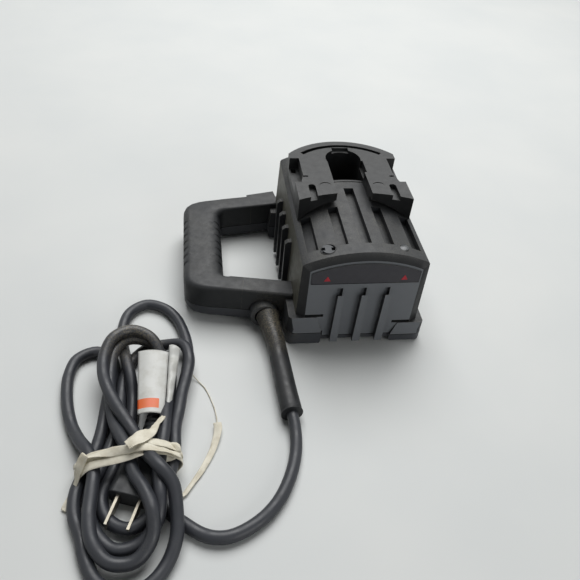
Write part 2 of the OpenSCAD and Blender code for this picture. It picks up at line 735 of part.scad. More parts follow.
// One shell's wall in section: s from the inner to the outer face, z up; edge = 1 top, -1 bottom
function arc(c, r, a0, a1, n = 4) =
    [for (i = [0:n]) let (a = a0 + (a1 - a0) * i / n) c + r * [cos(a), sin(a)]];
function shell_section(w, g, seam, edge_z, up) = let (
        ri = (arm_edge + g * (grip_edge_in - arm_edge)) * (up > 0 ? 1 : 0.6),
        ro = (arm_edge + g * (grip_edge_out - arm_edge)) * (up > 0 ? 1 : 0.9),
        ti = max(ri - handle_t, 0.4), to = max(ro - handle_t, 0.4),
        z = up * (edge_z - seam), t = handle_t)
    [for (p = concat([[w, 0]], arc([w - ro, z - ro], ro, 0, 90), arc([ri, z - ri], ri, 90, 180),
        [[0, 0], [t, 0]], arc([t + ti, z - t - ti], ti, 180, 90), arc([w - t - to, z - t - to], to, 90, 0),
        [[w - t, 0]])) [p[0], seam + up * p[1]]];
module handle_shell(edge_z, up) {
    seam = seam_high + (up > 0 ? seam_gap : 0);
    m = len(shell_section(arm_w, 0, seam, edge_z, up));
    n = len(stations);
    points = [for (st = stations) let (d = st[1] - st[0], w = norm(d), u = d / w)
        for (p = shell_section(w, st[2], seam, edge_z, up))
            [st[0][0] + p[0] * u[0], handle_y - st[0][1] - p[0] * u[1], p[1]]];
    sides = [for (i = [0:n - 2], j = [0:m - 1]) let (k = (j + 1) % m)
        [i * m + j, i * m + k, (i + 1) * m + k, (i + 1) * m + j]];
    faces = concat(sides, [[for (j = [m - 1:-1:0]) j]], [[for (j = [0:m - 1]) (n - 1) * m + j]]);
    polyhedron(points, up > 0 ? faces : [for (f = faces) reverse(f)], convexity = 6);
}
module handle_upper() color(shell_grey) placed() handle_shell(handle_z1, 1);
module handle_lower() color(rubber_black) placed() handle_shell(handle_z0, -1);

// ---------- dock ----------

module socket_outline(grow) {
    translate([-channel_w / 2 - grow, socket_y - grow])
        square([channel_w + 2 * grow, socket_straight + grow]);
    translate([0, socket_y + socket_straight]) circle(socket_r + grow);
}
module dock_outline() difference() {
    intersection() {
        translate([0, dock_y]) circle(dock_r, $fn = 128);
        translate([-dock_w / 2, 0]) square([dock_w, top_len]);
    }
    translate([0, prong_y - prong_r]) circle(prong_r, $fn = 180);
    translate([-channel_w / 2, 0]) square([channel_w, socket_y + over]);
}
module arch_cylinder(gap) translate([0, -over, arch_zc]) rotate([-90, 0, 0])
    cylinder(h = back_y + 2 * over, r = arch_r + gap, $fn = 128);
// Undercut below the prongs' ends: a steeper arch from the outer side up to the inner side
lip_outer = [dock_w / 2, arch_z(dock_w / 2)];
lip_inner = [channel_w / 2, dock_z - lip_h];
lip_zc = (lip_outer * lip_outer - lip_inner * lip_inner) / (2 * (lip_outer[1] - lip_inner[1]));
lip_r = norm(lip_outer - [0, lip_zc]);
module prong_undercut() intersection() {
    translate([0, prong_y - prong_r, shoulder_z]) cylinder(h = sky, r = prong_r + lip_d, $fn = 180);
    translate([0, -over, lip_zc]) rotate([-90, 0, 0]) cylinder(h = dock_y, r = lip_r, $fn = 128);
}

seat_gap = 0.2;
module dock_slot() translate([0, dock_y, dock_z - slot_d]) linear_extrude(slot_d + over) intersection() {
    difference() {
        circle(slot_r + slot_w, $fn = 128);
        circle(slot_r, $fn = 128);
    }
    polygon([[0, 0], [dock_r * 2 * sin(slot_angle), dock_r * 2 * cos(slot_angle)],
        [-dock_r * 2 * sin(slot_angle), dock_r * 2 * cos(slot_angle)]]);
}
module prong_cuts() {
    // Guide groove, open at the prong's end
    translate([guide_x - guide_w / 2, prong_front(guide_x + guide_w) - over, dock_z - guide_d])
        cube([guide_w, guide_len + over - guide_w / 2, guide_d + over]);
    translate([guide_x, prong_front(guide_x + guide_w) + guide_len - guide_w / 2, dock_z - guide_d])
        cylinder(h = guide_d + over, d = guide_w);
    // Side notch for the battery's latch, with its deeper rear pocket
    translate([0, 0, dock_z - notch_d]) linear_extrude(notch_d + over) polygon([
        [notch_x + 0.5, notch_y], [notch_x - 2, notch_y + 9], [notch_x - 2, notch_y + notch_len],
        [dock_w, notch_y + notch_len], [dock_w, notch_y]]);
    translate([notch_x, notch_y + notch_len - 7, dock_z - notch_d - 3])
        cube([dock_w / 2 - notch_x - 1.2, 6, notch_d]);
    // Drain hole and thumb mark
    translate([notch_x - 5.6, notch_y + 6.6, dock_z - 2]) cube([4, 1.8, 2 + over]);
    translate([channel_w / 2 + 6.7, notch_y - 5, dock_z - 0.6]) linear_extrude(0.6 + over) difference() {
        circle(d = 9);
        translate([0, -1.6]) circle(d = 10);
    }
}
module battery_dock() color(dock_grey) placed() difference() {
    union() {
        difference() {
            translate([0, 0, arch_z(dock_w / 2) - 2 * over])
                linear_extrude(dock_z - arch_z(dock_w / 2) + 2 * over) dock_outline();
            arch_cylinder(seat_gap);
        }
        intersection() {
            translate([0, 0, well_z - well_t])
                linear_extrude(dock_z - well_z) socket_outline(well_t);
            arch_cylinder(seat_gap * 2);
        }
    }
    translate([0, 0, well_z]) linear_extrude(sky) socket_outline(0);
    dock_slot();
    prong_undercut();
    // Ledge behind the socket
    translate([-ledge_w / 2, contact_y, dock_z - ledge_d])
        cube([ledge_w, dock_y + slot_r - 1 - contact_y, ledge_d + over]);
    for (s = [-1, 1]) on_side(s) prong_cuts();
    // Key notch in the right prong
    translate([0, socket_y - 3, dock_z - 6]) cube([channel_w / 2 + 1.8, 16, 6 + over]);
    contact_shapes(0.2);
    at_dock_screws() translate([0, 0, arch_z(dock_screw_x) - 2]) cylinder(h = 8, d = small_screw_d + 0.1);
}

// ---------- terminals ----------

contact_w = 5;
contact_t = 0.8;
contact_xs = [-6.5, 0, 6.5];
contact_y = socket_y + socket_straight;
contact_top = well_z + 24;
block_h = 8;
tail_len = 5;
module contact_shapes(grow) for (x = contact_xs)
    translate([x - contact_t / 2 - grow, contact_y - contact_w / 2 - grow, well_z - well_t - tail_len - grow])
        cube([contact_t + 2 * grow, contact_w + 2 * grow,
            contact_top - well_z + well_t + tail_len + 2 * grow]);
module terminal_block() color(rubber_black) placed() difference() {
    translate([-9.5, contact_y - 8, well_z]) cube([19, 15, block_h]);
    for (s = [-1, 1]) translate([s * 3.25 - 0.75, contact_y - 8 - over, well_z + block_h - 3])
        cube([1.5, 15 + 2 * over, 3 + over]);
    contact_shapes(0.15);
}
module terminal_contacts() color(brass) placed() contact_shapes(0);

// ---------- reset button and breaker ----------

lug_z = collar_z - fit;
lug_t = 1.6;
button_face_z = button_z + button_proud;
thumb_w = 3;
thumb_d = 2;
module reset_button() color(rubber_black) placed() translate([-button_x, button_y, 0]) {
    // Cap with a bar across its face between two sunk sides
    difference() {
        translate([0, 0, lug_z - over]) cylinder(h = button_face_z - lug_z + over, d = button_d);
        for (s = [-1, 1])
            translate([s * button_bar / 2 - (s < 0 ? button_d : 0), -thumb_w / 2, button_face_z - thumb_d])
            cube([button_d, thumb_w, thumb_d + over]);
    }
    // Lugs that stop under the collar
    translate([-button_d / 2 - 1.2, -2, lug_z - lug_t]) cube([button_d + 2.4, 4, lug_t]);
    translate([0, 0, lug_z - lug_t]) cylinder(h = lug_t, d = button_d - 1);
    translate([0, 0, breaker_z1 - 3]) cylinder(h = lug_z - breaker_z1 + 2, d = stem_d);
}
spring_r = stem_d / 2 + 0.4 + spring_wire / 2;
spring_h = lug_z - lug_t - breaker_z1 - 0.1;
spring_turns = 4;
ring_n = 12;
wire_n = 6;
module reset_spring() color(pale_metal) placed() translate([-button_x, button_y, breaker_z1 + 0.05]) {
    k = spring_turns * ring_n;
    points = [for (i = [0:k], j = [0:wire_n - 1]) let (a = i * 360 / ring_n, b = j * 360 / wire_n,
            z = spring_wire / 2 + (spring_h - spring_wire) * i / k)
        [(spring_r + spring_wire / 2 * cos(b)) * cos(a), (spring_r + spring_wire / 2 * cos(b)) * sin(a),
            z + spring_wire / 2 * sin(b)]];
    polyhedron(points, tube_faces(k + 1, wire_n), convexity = 8);
}
module overload_breaker() color(rubber_black) placed() difference() {
    union() {
        translate([-button_x - breaker_w / 2, cavity_front + 0.3, breaker_z1 - breaker_h])
            cube([breaker_w, breaker_l, breaker_h]);
        for (s = [-1, 1]) translate([-button_x + s * 4 - 0.4, cavity_front + 6, breaker_z1 - breaker_h - 6])
            cube([0.8, 5, 6 + over]);
    }
    translate([-button_x, button_y, breaker_z1 - 3 - button_travel - 0.6])
        cylinder(h = sky, d = stem_d + 2 * fit);
}

// ---------- lamp and label ----------

module indicator_lens() color("#8a1c1c") placed() translate([button_x, button_y, 0]) {
    translate([0, 0, arch_z(button_x) - roof_t]) cylinder(h = roof_t, d = lens_d);
    intersection() {
        translate([0, 0, arch_z(button_x) - roof_t]) cylinder(h = sky, d = lens_d);
        translate([0, 0, arch_z(button_x) + lens_proud - 7.5]) sphere(7.5);
    }
    translate([0, 0, lens_flange_z - 1]) cylinder(h = 1, d = lens_d + 2);
    translate([0, 0, lens_flange_z - over / 2]) cylinder(h = roof_t, d = lens_d);
}
lens_flange_z = arch_z(button_x + lens_d / 2 + 1, roof_t) - 0.2;
module indicator_led() color("#d8d8d0") placed() translate([button_x, button_y, 0]) {
    translate([0, 0, lens_flange_z - 1 - 0.2 - 5]) cylinder(h = 5, d = 5);
    translate([0, 0, lens_flange_z - 1 - 0.2 - 5]) cylinder(h = 1, d = 5.8);
    for (s = [-1, 1]) translate([s * 1.27 - 0.25, -0.25, lens_flange_z - 18]) cube([0.5, 0.5, 12.5]);
}
module label_plate() color(label_black) placed() along_y(front_y - label_t, front_y) intersection() {
    translate([0, arch_zc]) circle(arch_r - bevel_w - label_margin, $fn = 128);
    translate([-label_w / 2, label_z]) square([label_w, crown_z - label_z]);
}

// ---------- transformer ----------

leg_w = core_w / 6;
window_h = core_h * 0.6;
module transformer_core() color("#5a5d62") placed() translate([0, core_y, core_z]) difference() {
    translate([-core_w / 2, -core_t / 2, 0]) cube([core_w, core_t, core_h]);
    for (s = [-1, 1]) translate([s * leg_w * 1.5 - leg_w / 2, -core_t / 2 - over, (core_h - window_h) / 2])
        cube([leg_w, core_t + 2 * over, window_h]);
}
bobbin_t = 1.2;
module bobbin_ring(grow, h) difference() {
    translate([-leg_w - grow, -core_t / 2 - grow, 0]) cube([2 * leg_w + 2 * grow, core_t + 2 * grow, h]);
    translate([-leg_w - 0.1, -core_t / 2 - 0.1, -over]) cube([2 * leg_w + 0.2, core_t + 0.2, h + 2 * over]);
}
module transformer_bobbin() color("#d9d2bd") placed()
        translate([0, core_y, core_z + (core_h - window_h) / 2 + 0.1]) {
    bobbin_ring(bobbin_t, window_h - 0.2);
    for (z = [0, window_h - 0.2 - bobbin_t]) translate([0, 0, z]) bobbin_ring(leg_w - 0.2, bobbin_t);
}
module transformer_winding() color(copper) placed()
    translate([0, core_y, core_z + (core_h - window_h) / 2 + 0.2 + bobbin_t]) difference() {
        linear_extrude(window_h - 2 * bobbin_t - 0.4) translate([-2 * leg_w + 1, -core_t / 2 - leg_w + 1])
            round_rect(4 * leg_w - 2, core_t + 2 * leg_w - 2, 4);
        translate([-leg_w - bobbin_t - 0.1, -core_t / 2 - bobbin_t - 0.1, -over])
            cube([2 * (leg_w + bobbin_t + 0.1), core_t + 2 * (bobbin_t + 0.1), core_h]);
    }
module transformer_bracket() color(pale_metal) placed() translate([0, core_y, 0]) difference() {
    union() {
        translate([-core_w / 2 - strap_t, -strap_w / 2, core_z + core_h])
            cube([core_w + 2 * strap_t, strap_w, strap_t]);
        for (s = [-1, 1]) on_side(s) {
            translate([core_w / 2, -strap_w / 2, bracket_z])
                cube([strap_t, strap_w, core_z + core_h - bracket_z + strap_t]);
            translate([core_w / 2, -strap_w / 4, bracket_z]) cube([strap_t + 6.4, strap_w / 2, strap_t]);
        }
    }
    for (s = [-1, 1]) translate([s * bracket_x, 0, 0]) cylinder(h = sky, d = small_screw_d + fit);
}
// A pan-head screw standing head up on height z
module small_screw(z, length) {
    translate([0, 0, z - length]) cylinder(h = length + 0.5, d = small_screw_d);
    translate([0, 0, z]) cylinder(h = 1.7, d = small_screw_d * 2);
}
module transformer_screws() color(pale_metal) placed()
    at_bracket_screws() small_screw(bracket_z + strap_t, 6);

// ---------- circuit ----------

board_top = board_z + board_t;
module circuit_board() color(board_green) placed() difference() {
    translate([-board_w / 2, board_y, board_z]) cube([board_w, board_len, board_t]);
    at_board_screws() cylinder(h = sky, d = small_screw_d + fit);
}
module board_screws() color(pale_metal) placed() at_board_screws() small_screw(board_top, 7);
module smoothing_capacitor() color("#23324f") placed()
translate([board_w / 2 - 1 - cap_d / 2, board_y + 9 + cap_d / 2, board_top]) {
    cylinder(h = cap_h, d = cap_d);
    translate([0, 0, cap_h - 0.01]) cylinder(h = 0.6, d = cap_d - 3);
}
module output_relay() color("#2b3f7a") placed()
    translate([-board_w / 2 + 4, board_y + 9, board_top]) cube([12, 20, 16]);
module bridge_rectifier() color(rubber_black) placed()
    translate([board_w / 2 - 20, board_y + 31, board_top]) difference() {
        cube([15, 5, 16]);
        translate([7.5, -over, 11]) rotate([-90, 0, 0]) cylinder(h = 5 + 2 * over, d = 3.2);
    }
module heat_sink() color(pale_metal) placed() translate([board_w / 2 - 23, board_y + 36, board_top]) {
    cube([21, 2.5, 22]);
    for (i = [0:4]) translate([i * 4.6, 2, 0]) cube([1.6, 6, 22]);
}
fuse_len = 20;
fuse_z = board_top + 4.2;
module at_fuse() translate([-board_w / 2 + 8, board_y + board_len - 14, fuse_z]) children();
module fuse_link() color(pale_metal) placed() at_fuse() rotate([0, 90, 0]) cylinder(h = fuse_len, d = 5);
module fuse_clips() color(brass) placed() for (x = [1, fuse_len - 6]) at_fuse() translate([x, 0, 0]) {
    translate([0, -3.4, -fuse_z + board_top]) cube([5, 6.8, 0.8]);
    for (s = [-1, 1]) translate([0, s * 3 - 0.4, -fuse_z + board_top])
        cube([5, 0.8, fuse_z - board_top + 1.6]);
}

// ---------- swept tubes ----------

function unit(v) = v / norm(v);
function tangent(p, i) = unit(p[min(i + 1, len(p) - 1)] - p[max(i - 1, 0)]);
function tube_faces(rings, sides) = concat(
    [for (i = [0:rings - 2], j = [0:sides - 1]) let (k = (j + 1) % sides)
        [i * sides + j, (i + 1) * sides + j, (i + 1) * sides + k, i * sides + k]],
    [[for (j = [0:sides - 1]) j]],
    [[for (j = [sides - 1:-1:0]) (rings - 1) * sides + j]]);
// A tube along points p with a radius for each point; its rings stand across a level route
module tube(p, r, sides = 8) {
    points = [for (i = [0:len(p) - 1], j = [0:sides - 1]) let (
            t = tangent(p, i), flat = unit(abs(t[2]) > 0.95 ? [1, 0, 0] : [-t[1], t[0], 0]),
            up = cross(t, flat),
            a = (j + 0.5) * 360 / sides, rr = r[min(i, len(r) - 1)])
        p[i] + rr * cos(a) * flat + rr * sin(a) * up];
    polyhedron(points, tube_faces(len(p), sides), convexity = 10);
}
// Points along a smooth curve through the route's own points
function smooth(p, n = 2) = concat([for (i = [0:len(p) - 2], k = [0:n - 1]) let (t = k / n,
        a = p[max(i - 1, 0)], b = p[i], c = p[i + 1], d = p[min(i + 2, len(p) - 1)])
    0.5 * (2 * b + t * (c - a) + t * t * (2 * a - 5 * b + 4 * c - d) + t * t * t * (3 * b - a - 3 * c + d))],
    [p[len(p) - 1]]);

wire_z = 22.6;
core_wire_r = 1.1;
out_wire_r = 1;
module mains_wires() color("#1f1f22") placed() {
    y0 = arm_mid_y;
    x1 = -(wall_x(wire_z) - shell_t - 3.7);
    tube([[gland_x, boot_start[1], gland_z], [gland_x, y0 + 1, gland_z], [gland_x, y0 + 2.6, gland_z]],
        [cord_d / 2 - 0.15]);
    for (k = [0, 1]) let (z = wire_z + 3 * k) tube(smooth([
        [gland_x + k * 2.4, y0 + 2.7, gland_z - 1 + 2 * k], [gland_x + 3, y0 + 3.2, gland_z + 4 + k],
        [gland_x + 5, y0 + 2, z - 1.6], [gland_x + 10, y0, z],
        [x1 - 9.7, y0 - 2.4, z], [x1 - 2.7, y0 - 1.5, z],
        [x1, core_y - 14, z], [x1, core_y + 10, z], [x1, core_y + 28, z],
        [x1 + 6.3, board_y + 1, z - 0.6], [x1 + 18.3 + 3 * k, board_y + 3, board_top + 0.1]]), [core_wire_r]);
}
module output_wires() color("#8c2020") placed() {
    z0 = well_z - well_t - tail_len;
    for (x = contact_xs) tube(smooth([[x, contact_y, z0 - 0.05], [x, contact_y - 1, z0 - 5],
        [x * 1.4, contact_y - 5, z0 - 11], [x * 1.6, contact_y - 6, board_top + 0.1]]), [out_wire_r]);
    y1 = core_y + core_t / 2 + leg_w - 1;
    z1 = core_z + core_h / 2;
    for (s = [-1, 1]) tube(smooth([[s * 8, y1, z1], [s * 9, y1 + 4, z1 - 2],
        [s * 9, board_y + 2, z1 - 12], [s * 9, board_y + 4, board_top + 0.1]]), [out_wire_r]);
}

// ---------- lead ----------

relief_route = [boot_end, [-59.9, -20, 10.2], [-58, -32, 8.8],
    [-56.3, -46, 7.8], [-55, -58, 7.2], [-54.4, -70, 7]];
lead_route = [[-54.4, -70, 7], [-53.8, -80, 5.2], [-54.4, -90, 3.9], [-57.4, -105, 3.9], [-63, -118, 3.9],
    [-72, -130, 3.9], [-84, -139.5, 3.9], [-95, -145, 3.9], [-104, -146, 3.9], [-112, -143.5, 3.9],
    [-119, -137, 3.9], [-126, -128, 3.9]];
// Boot: a sleeve from the clamp to the relief, with its collar outside the hump
module gland_boot() color(rubber_black) placed() {
    boot_line(0, boot_len, boot_d - fit);
    boot_line(boot_len - 5, boot_len - 2.5, boot_d + 1.6);
}
module strain_relief() color(rubber_black) placed() {
    p = smooth(relief_route, 3);
    n = len(p) - 1;
    tube(p, [for (i = [0:n])
        (i > n - 2 ? relief_d + 1.6 : boot_d - fit + (relief_d - boot_d + fit) * i / n) / 2], 12);
}
module cord_lead() color(rubber_black) placed() tube(smooth(lead_route, 3), [cord_d / 2], 10);

// Tied hank beside the handle: round-ended bundles of loops joined by a waist, where two strands
// lie over the plug. Each bundle is the outline round some circles, given as x, y and radius.
loops_h = 3 * cord_d;
waist_h = plug_h + 2 * cord_d + fit;
hank_bundles = [
    [[-145, 14, 27.5], [-179, -22, 20], [-181, -62, 17], [-134, -24, 21], [-137, -80, 17]],
    [[-165, -102, 19], [-140, -102, 18]],
    [[-162, -128, 22], [-144, -126, 23]],
    [[-156, -148, 26], [-148, -148, 27]]];
hank_heights = [loops_h, waist_h, waist_h, loops_h];
module hank_bundle(i, grow) hull() for (c = hank_bundles[i])
    translate([c[0], c[1]]) circle(c[2] + grow, $fn = 48);

// Two-pin plug lying under the loops, its blades in their open middle
plug_at = [-152, -122];
plug_turn = -18.5;
module in_plug() translate([plug_at[0], plug_at[1], 0]) rotate([0, 0, plug_turn]) children();
module plug_form(grow) {
    translate([0, -grow, plug_h / 2]) rotate([-90, 0, 0]) linear_extrude(plug_l * 0.58 + 2 * grow)
        translate([-plug_w / 2 - grow, -plug_h / 2 - grow])
            round_rect(plug_w + 2 * grow, plug_h + 2 * grow, 4);
    translate([0, plug_l * 0.58, plug_h / 2]) rotate([-90, 0, 0])
        cylinder(h = plug_l * 0.42, d1 = plug_h - 1 + 2 * grow, d2 = cord_d + 3 + 2 * grow);
}
module cord_hank() color(rubber_black) placed() difference() {
    for (i = [0:3]) linear_extrude(hank_heights[i]) hank_bundle(i, 0);
    in_plug() {
        plug_form(fit);
        // Open middle of the loops
        translate([-plug_w / 2, -blade_len - 5, -over]) cube([plug_w, blade_len + 5, sky]);
    }
    at_tag() translate([-tag_w / 2 - fit, -tag_len / 2 - fit, 0])
        cube([tag_w + 2 * fit, tag_len + 2 * fit, sky]);
}
module plug_body() color(rubber_black) placed() in_plug() difference() {
    plug_form(0);
    at_blades() translate([0, -over, 0]) cube([blade_t, 3 + over, blade_w]);
}
module at_blades() for (s = [-1, 1])
    translate([s * blade_pitch / 2 - blade_t / 2, 0, plug_h / 2 - blade_w / 2]) children();
module plug_blades() color(pale_metal) placed() in_plug() at_blades()
        translate([0, -blade_len, 0]) difference() {
    cube([blade_t, blade_len + 3, blade_w]);
    translate([-over, 4, blade_w / 2]) rotate([0, 90, 0]) cylinder(h = blade_t + 2 * over, d = 3);
}

// Tie round the waist of the hank
tie_at = [-151, -101];
tie_turn = 4;
tie_w = 12;
tie_t = 1.6;
module cord_tie() color(cream) placed() intersection() {
    translate([tie_at[0], tie_at[1], 0.5]) rotate([0, 0, tie_turn])
        translate([-base_w / 2, -tie_w / 2, 0]) cube([base_w, tie_w, sky]);
    difference() {
        linear_extrude(waist_h + tie_t) for (i = [0:2]) hank_bundle(i, tie_t);
        translate([0, 0, -over]) linear_extrude(waist_h + over) for (i = [0:2]) hank_bundle(i, 0);
    }
}
// Paper flag on the lead near the plug, sunk between the loops
tag_at = [-141.5, -48.5, 15.8];
tag_turn = -4;
tag_w = 19;
tag_len = 51;
module at_tag() translate(tag_at) rotate([0, 0, tag_turn]) children();
module cord_tag() color(cream) placed()
    at_tag() translate([-tag_w / 2, -tag_len / 2, 0]) cube([tag_w, tag_len, 1.2]);

// ---------- cord clamp and the remaining screws ----------

module cord_clamp() color(rubber_black) placed() difference() {
    translate([clamp_xs[0] - 2.5, clamp_y - 2.5, clamp_z]) cube([clamp_xs[1] - clamp_xs[0] + 5, 5, 3]);
    at_clamp_screws() cylinder(h = sky, d = small_screw_d + fit);
}
module cord_clamp_screws() color(pale_metal) placed() at_clamp_screws() small_screw(clamp_z + 3, 8);
module housing_screws() color(pale_metal) placed() at_posts() {
    translate([0, 0, underside_z + 0.4]) cylinder(h = head_h, d = head_d);
    translate([0, 0, underside_z + 0.4 + head_h - 0.01])
        cylinder(h = post_foot_z + screw_reach - 1 - underside_z - head_h, d = screw_d);
}
module dock_screws() color(pale_metal) placed() at_dock_screws() {
    translate([0, 0, dock_pad_z - 1.7]) cylinder(h = 1.7, d = small_screw_d * 2);
    translate([0, 0, dock_pad_z - 0.01])
        cylinder(h = arch_z(dock_screw_x) + 5 - dock_pad_z, d = small_screw_d);
}

top_housing();
base_housing();
handle_upper();
handle_lower();
battery_dock();
terminal_block();
terminal_contacts();
reset_button();
reset_spring();
overload_breaker();
indicator_lens();
indicator_led();
label_plate();
strain_relief();
gland_boot();
cord_lead();
cord_hank();
plug_body();
plug_blades();
cord_tie();
cord_tag();
transformer_core();
transformer_bobbin();
transformer_winding();
transformer_bracket();
transformer_screws();
circuit_board();
bridge_rectifier();
heat_sink();
smoothing_capacitor();
output_relay();
board_screws();
fuse_link();
fuse_clips();
cord_clamp();
cord_clamp_screws();
mains_wires();
output_wires();
housing_screws();
dock_screws();
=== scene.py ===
# %% [markdown]
# # A docking battery charger for power tools
# This lesson dresses a finished CAD model. The model is loaded as a fixed frame, and each step adds a
# finish, a softened edge or a piece that CAD leaves plain, such as the wound mains lead. Everything is in
# metres.

# %% Load the frame
import bpy
import bmesh
import math
from mathutils import Matrix, Vector, noise


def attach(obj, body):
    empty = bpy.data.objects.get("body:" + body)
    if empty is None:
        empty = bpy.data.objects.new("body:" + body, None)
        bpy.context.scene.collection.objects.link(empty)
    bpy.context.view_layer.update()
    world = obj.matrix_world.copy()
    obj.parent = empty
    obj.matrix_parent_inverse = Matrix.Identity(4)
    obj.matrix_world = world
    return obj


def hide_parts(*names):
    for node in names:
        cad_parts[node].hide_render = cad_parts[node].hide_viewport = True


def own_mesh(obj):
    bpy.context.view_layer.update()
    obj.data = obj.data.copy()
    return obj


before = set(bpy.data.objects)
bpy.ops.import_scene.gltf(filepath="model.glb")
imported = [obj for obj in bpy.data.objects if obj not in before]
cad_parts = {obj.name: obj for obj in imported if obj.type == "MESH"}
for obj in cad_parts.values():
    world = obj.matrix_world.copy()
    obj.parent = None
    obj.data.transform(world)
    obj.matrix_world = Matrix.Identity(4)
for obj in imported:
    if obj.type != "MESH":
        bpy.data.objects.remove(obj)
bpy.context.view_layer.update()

# %% [markdown]
# The maker drew the charger from the front edge of its panel, in millimetres. One helper turns such a
# point into the frame's metres, so that every number below can be checked with a ruler on the real thing.

# %% Points in millimetres
PANEL_X, PANEL_Y = 35.5, -70.25


def at(x, y, z):
    """A point in mm, from the middle of the front panel and up from the bench, as metres in the frame."""
    return Vector(((x + PANEL_X) / 1000, (y + PANEL_Y) / 1000, z / 1000))


def mm(length):
    """Millimetres as metres."""
    return length / 1000


print("front edge of the panel", at(0, 0, 81))

# %% [markdown]
# The camera looks down at the charger, 42 degrees below level, a little from the left and with its head
# tilted. A 39 mm lens on a 36 mm sensor keeps the box shape natural at arm's length.

# %% Camera
EYE_PLACE = at(-110.72, -307.48, 331.47)
EYE_HEADING, EYE_TILT, EYE_ROLL = [math.radians(angle) for angle in (-11.12, 48.02, 6.0)]
LENS_MM, SENSOR_MM = 38.86, 36
eye = bpy.data.objects.new("eye", bpy.data.cameras.new("eye"))
eye.data.lens = LENS_MM
eye.data.sensor_width = SENSOR_MM
eye.data.sensor_fit = "HORIZONTAL"
eye.data.clip_start = mm(20)
turn = Matrix.Rotation(EYE_HEADING, 3, "Z") @ Matrix.Rotation(EYE_TILT, 3, "X")
turn = turn @ Matrix.Rotation(EYE_ROLL, 3, "Z")
eye.matrix_world = Matrix.Translation(EYE_PLACE) @ turn.to_4x4()
bpy.context.scene.collection.objects.link(eye)
bpy.context.scene.camera = eye
print("camera at", [round(v, 3) for v in eye.location])

# %% [markdown]
# ## Tubes along smooth lines
# The lead, its sleeve and every thin rim are round tubes that follow a line. A Catmull-Rom curve runs
# through each of its points, so they can be measured on the real thing. Each ring of the tube is turned
# from the one before by the smallest angle, so the thickness stays the same in every bend and the jacket
# never twists.

# %% Smooth lines and swept tubes
def smooth_line(points, steps=5):
    """Points on a Catmull-Rom curve through the given ones."""
    p = [Vector(q) for q in points]
    line = []
    for i in range(len(p) - 1):
        a, b, c, d = p[max(i - 1, 0)], p[i], p[i + 1], p[min(i + 2, len(p) - 1)]
        for k in range(steps):
            t = k / steps
            line.append(0.5 * (2 * b + t * (c - a) + t * t * (2 * a - 5 * b + 4 * c - d)
                + t ** 3 * (3 * b - a - 3 * c + d)))
    return line + [p[-1]]


def length_of(points):
    """Length of a line through points."""
    return sum((b - a).length for a, b in zip(points, points[1:]))


def object_from(bm, name):
    """Turns a bmesh into an object in the scene."""
    mesh = bpy.data.meshes.new(name)
    bm.to_mesh(mesh)
    bm.free()
    made = bpy.data.objects.new(name, mesh)
    bpy.context.scene.collection.objects.link(made)
    return made


def swept_tube(name, line, radius, sides=14):
    """A closed round tube along a line in metres. radius is a number, or a function of the way's share."""
    rings, up = [], Vector((0, 0, 1))
    far = len(line) - 1
    bm = bmesh.new()
    for i, place in enumerate(line):
        ahead = (line[min(i + 1, far)] - line[max(i - 1, 0)]).normalized()
        side = ahead.cross(up).normalized()
        up = side.cross(ahead).normalized()
        r = radius(i / far) if callable(radius) else radius
        turns = [math.tau * k / sides for k in range(sides)]
        rings.append([bm.verts.new(place + r * (math.cos(a) * side + math.sin(a) * up)) for a in turns])
    for near, next_ring in zip(rings, rings[1:]):
        for k in range(sides):
            j = (k + 1) % sides
            bm.faces.new((near[k], near[j], next_ring[j], next_ring[k])).smooth = True
    bm.faces.new(rings[0])
    bm.faces.new(rings[-1][::-1])
    bmesh.ops.recalc_face_normals(bm, faces=bm.faces)
    return object_from(bm, name)


bend = smooth_line([(0, 0, 0), (10, 0, 0), (10, 10, 0)])
print("a corner of 20 mm, smoothed to", len(bend), "points, is", round(length_of(bend), 2), "mm long")

# %% [markdown]
# ## Mains lead
# A two-core PVC lead is stiff rubbery stuff: it keeps long curves and only lies as tight as a hank's
# folds. It leaves the charger through a long sleeve, bends round on the bench and goes into a tied hank
# of four and a half loops with the plug inside. It could be a curve with a bevel, but a swept mesh keeps
# every ring under control. The places below are in millimetres. They are those of loops that had pushed
# each other apart and settled on a bench.

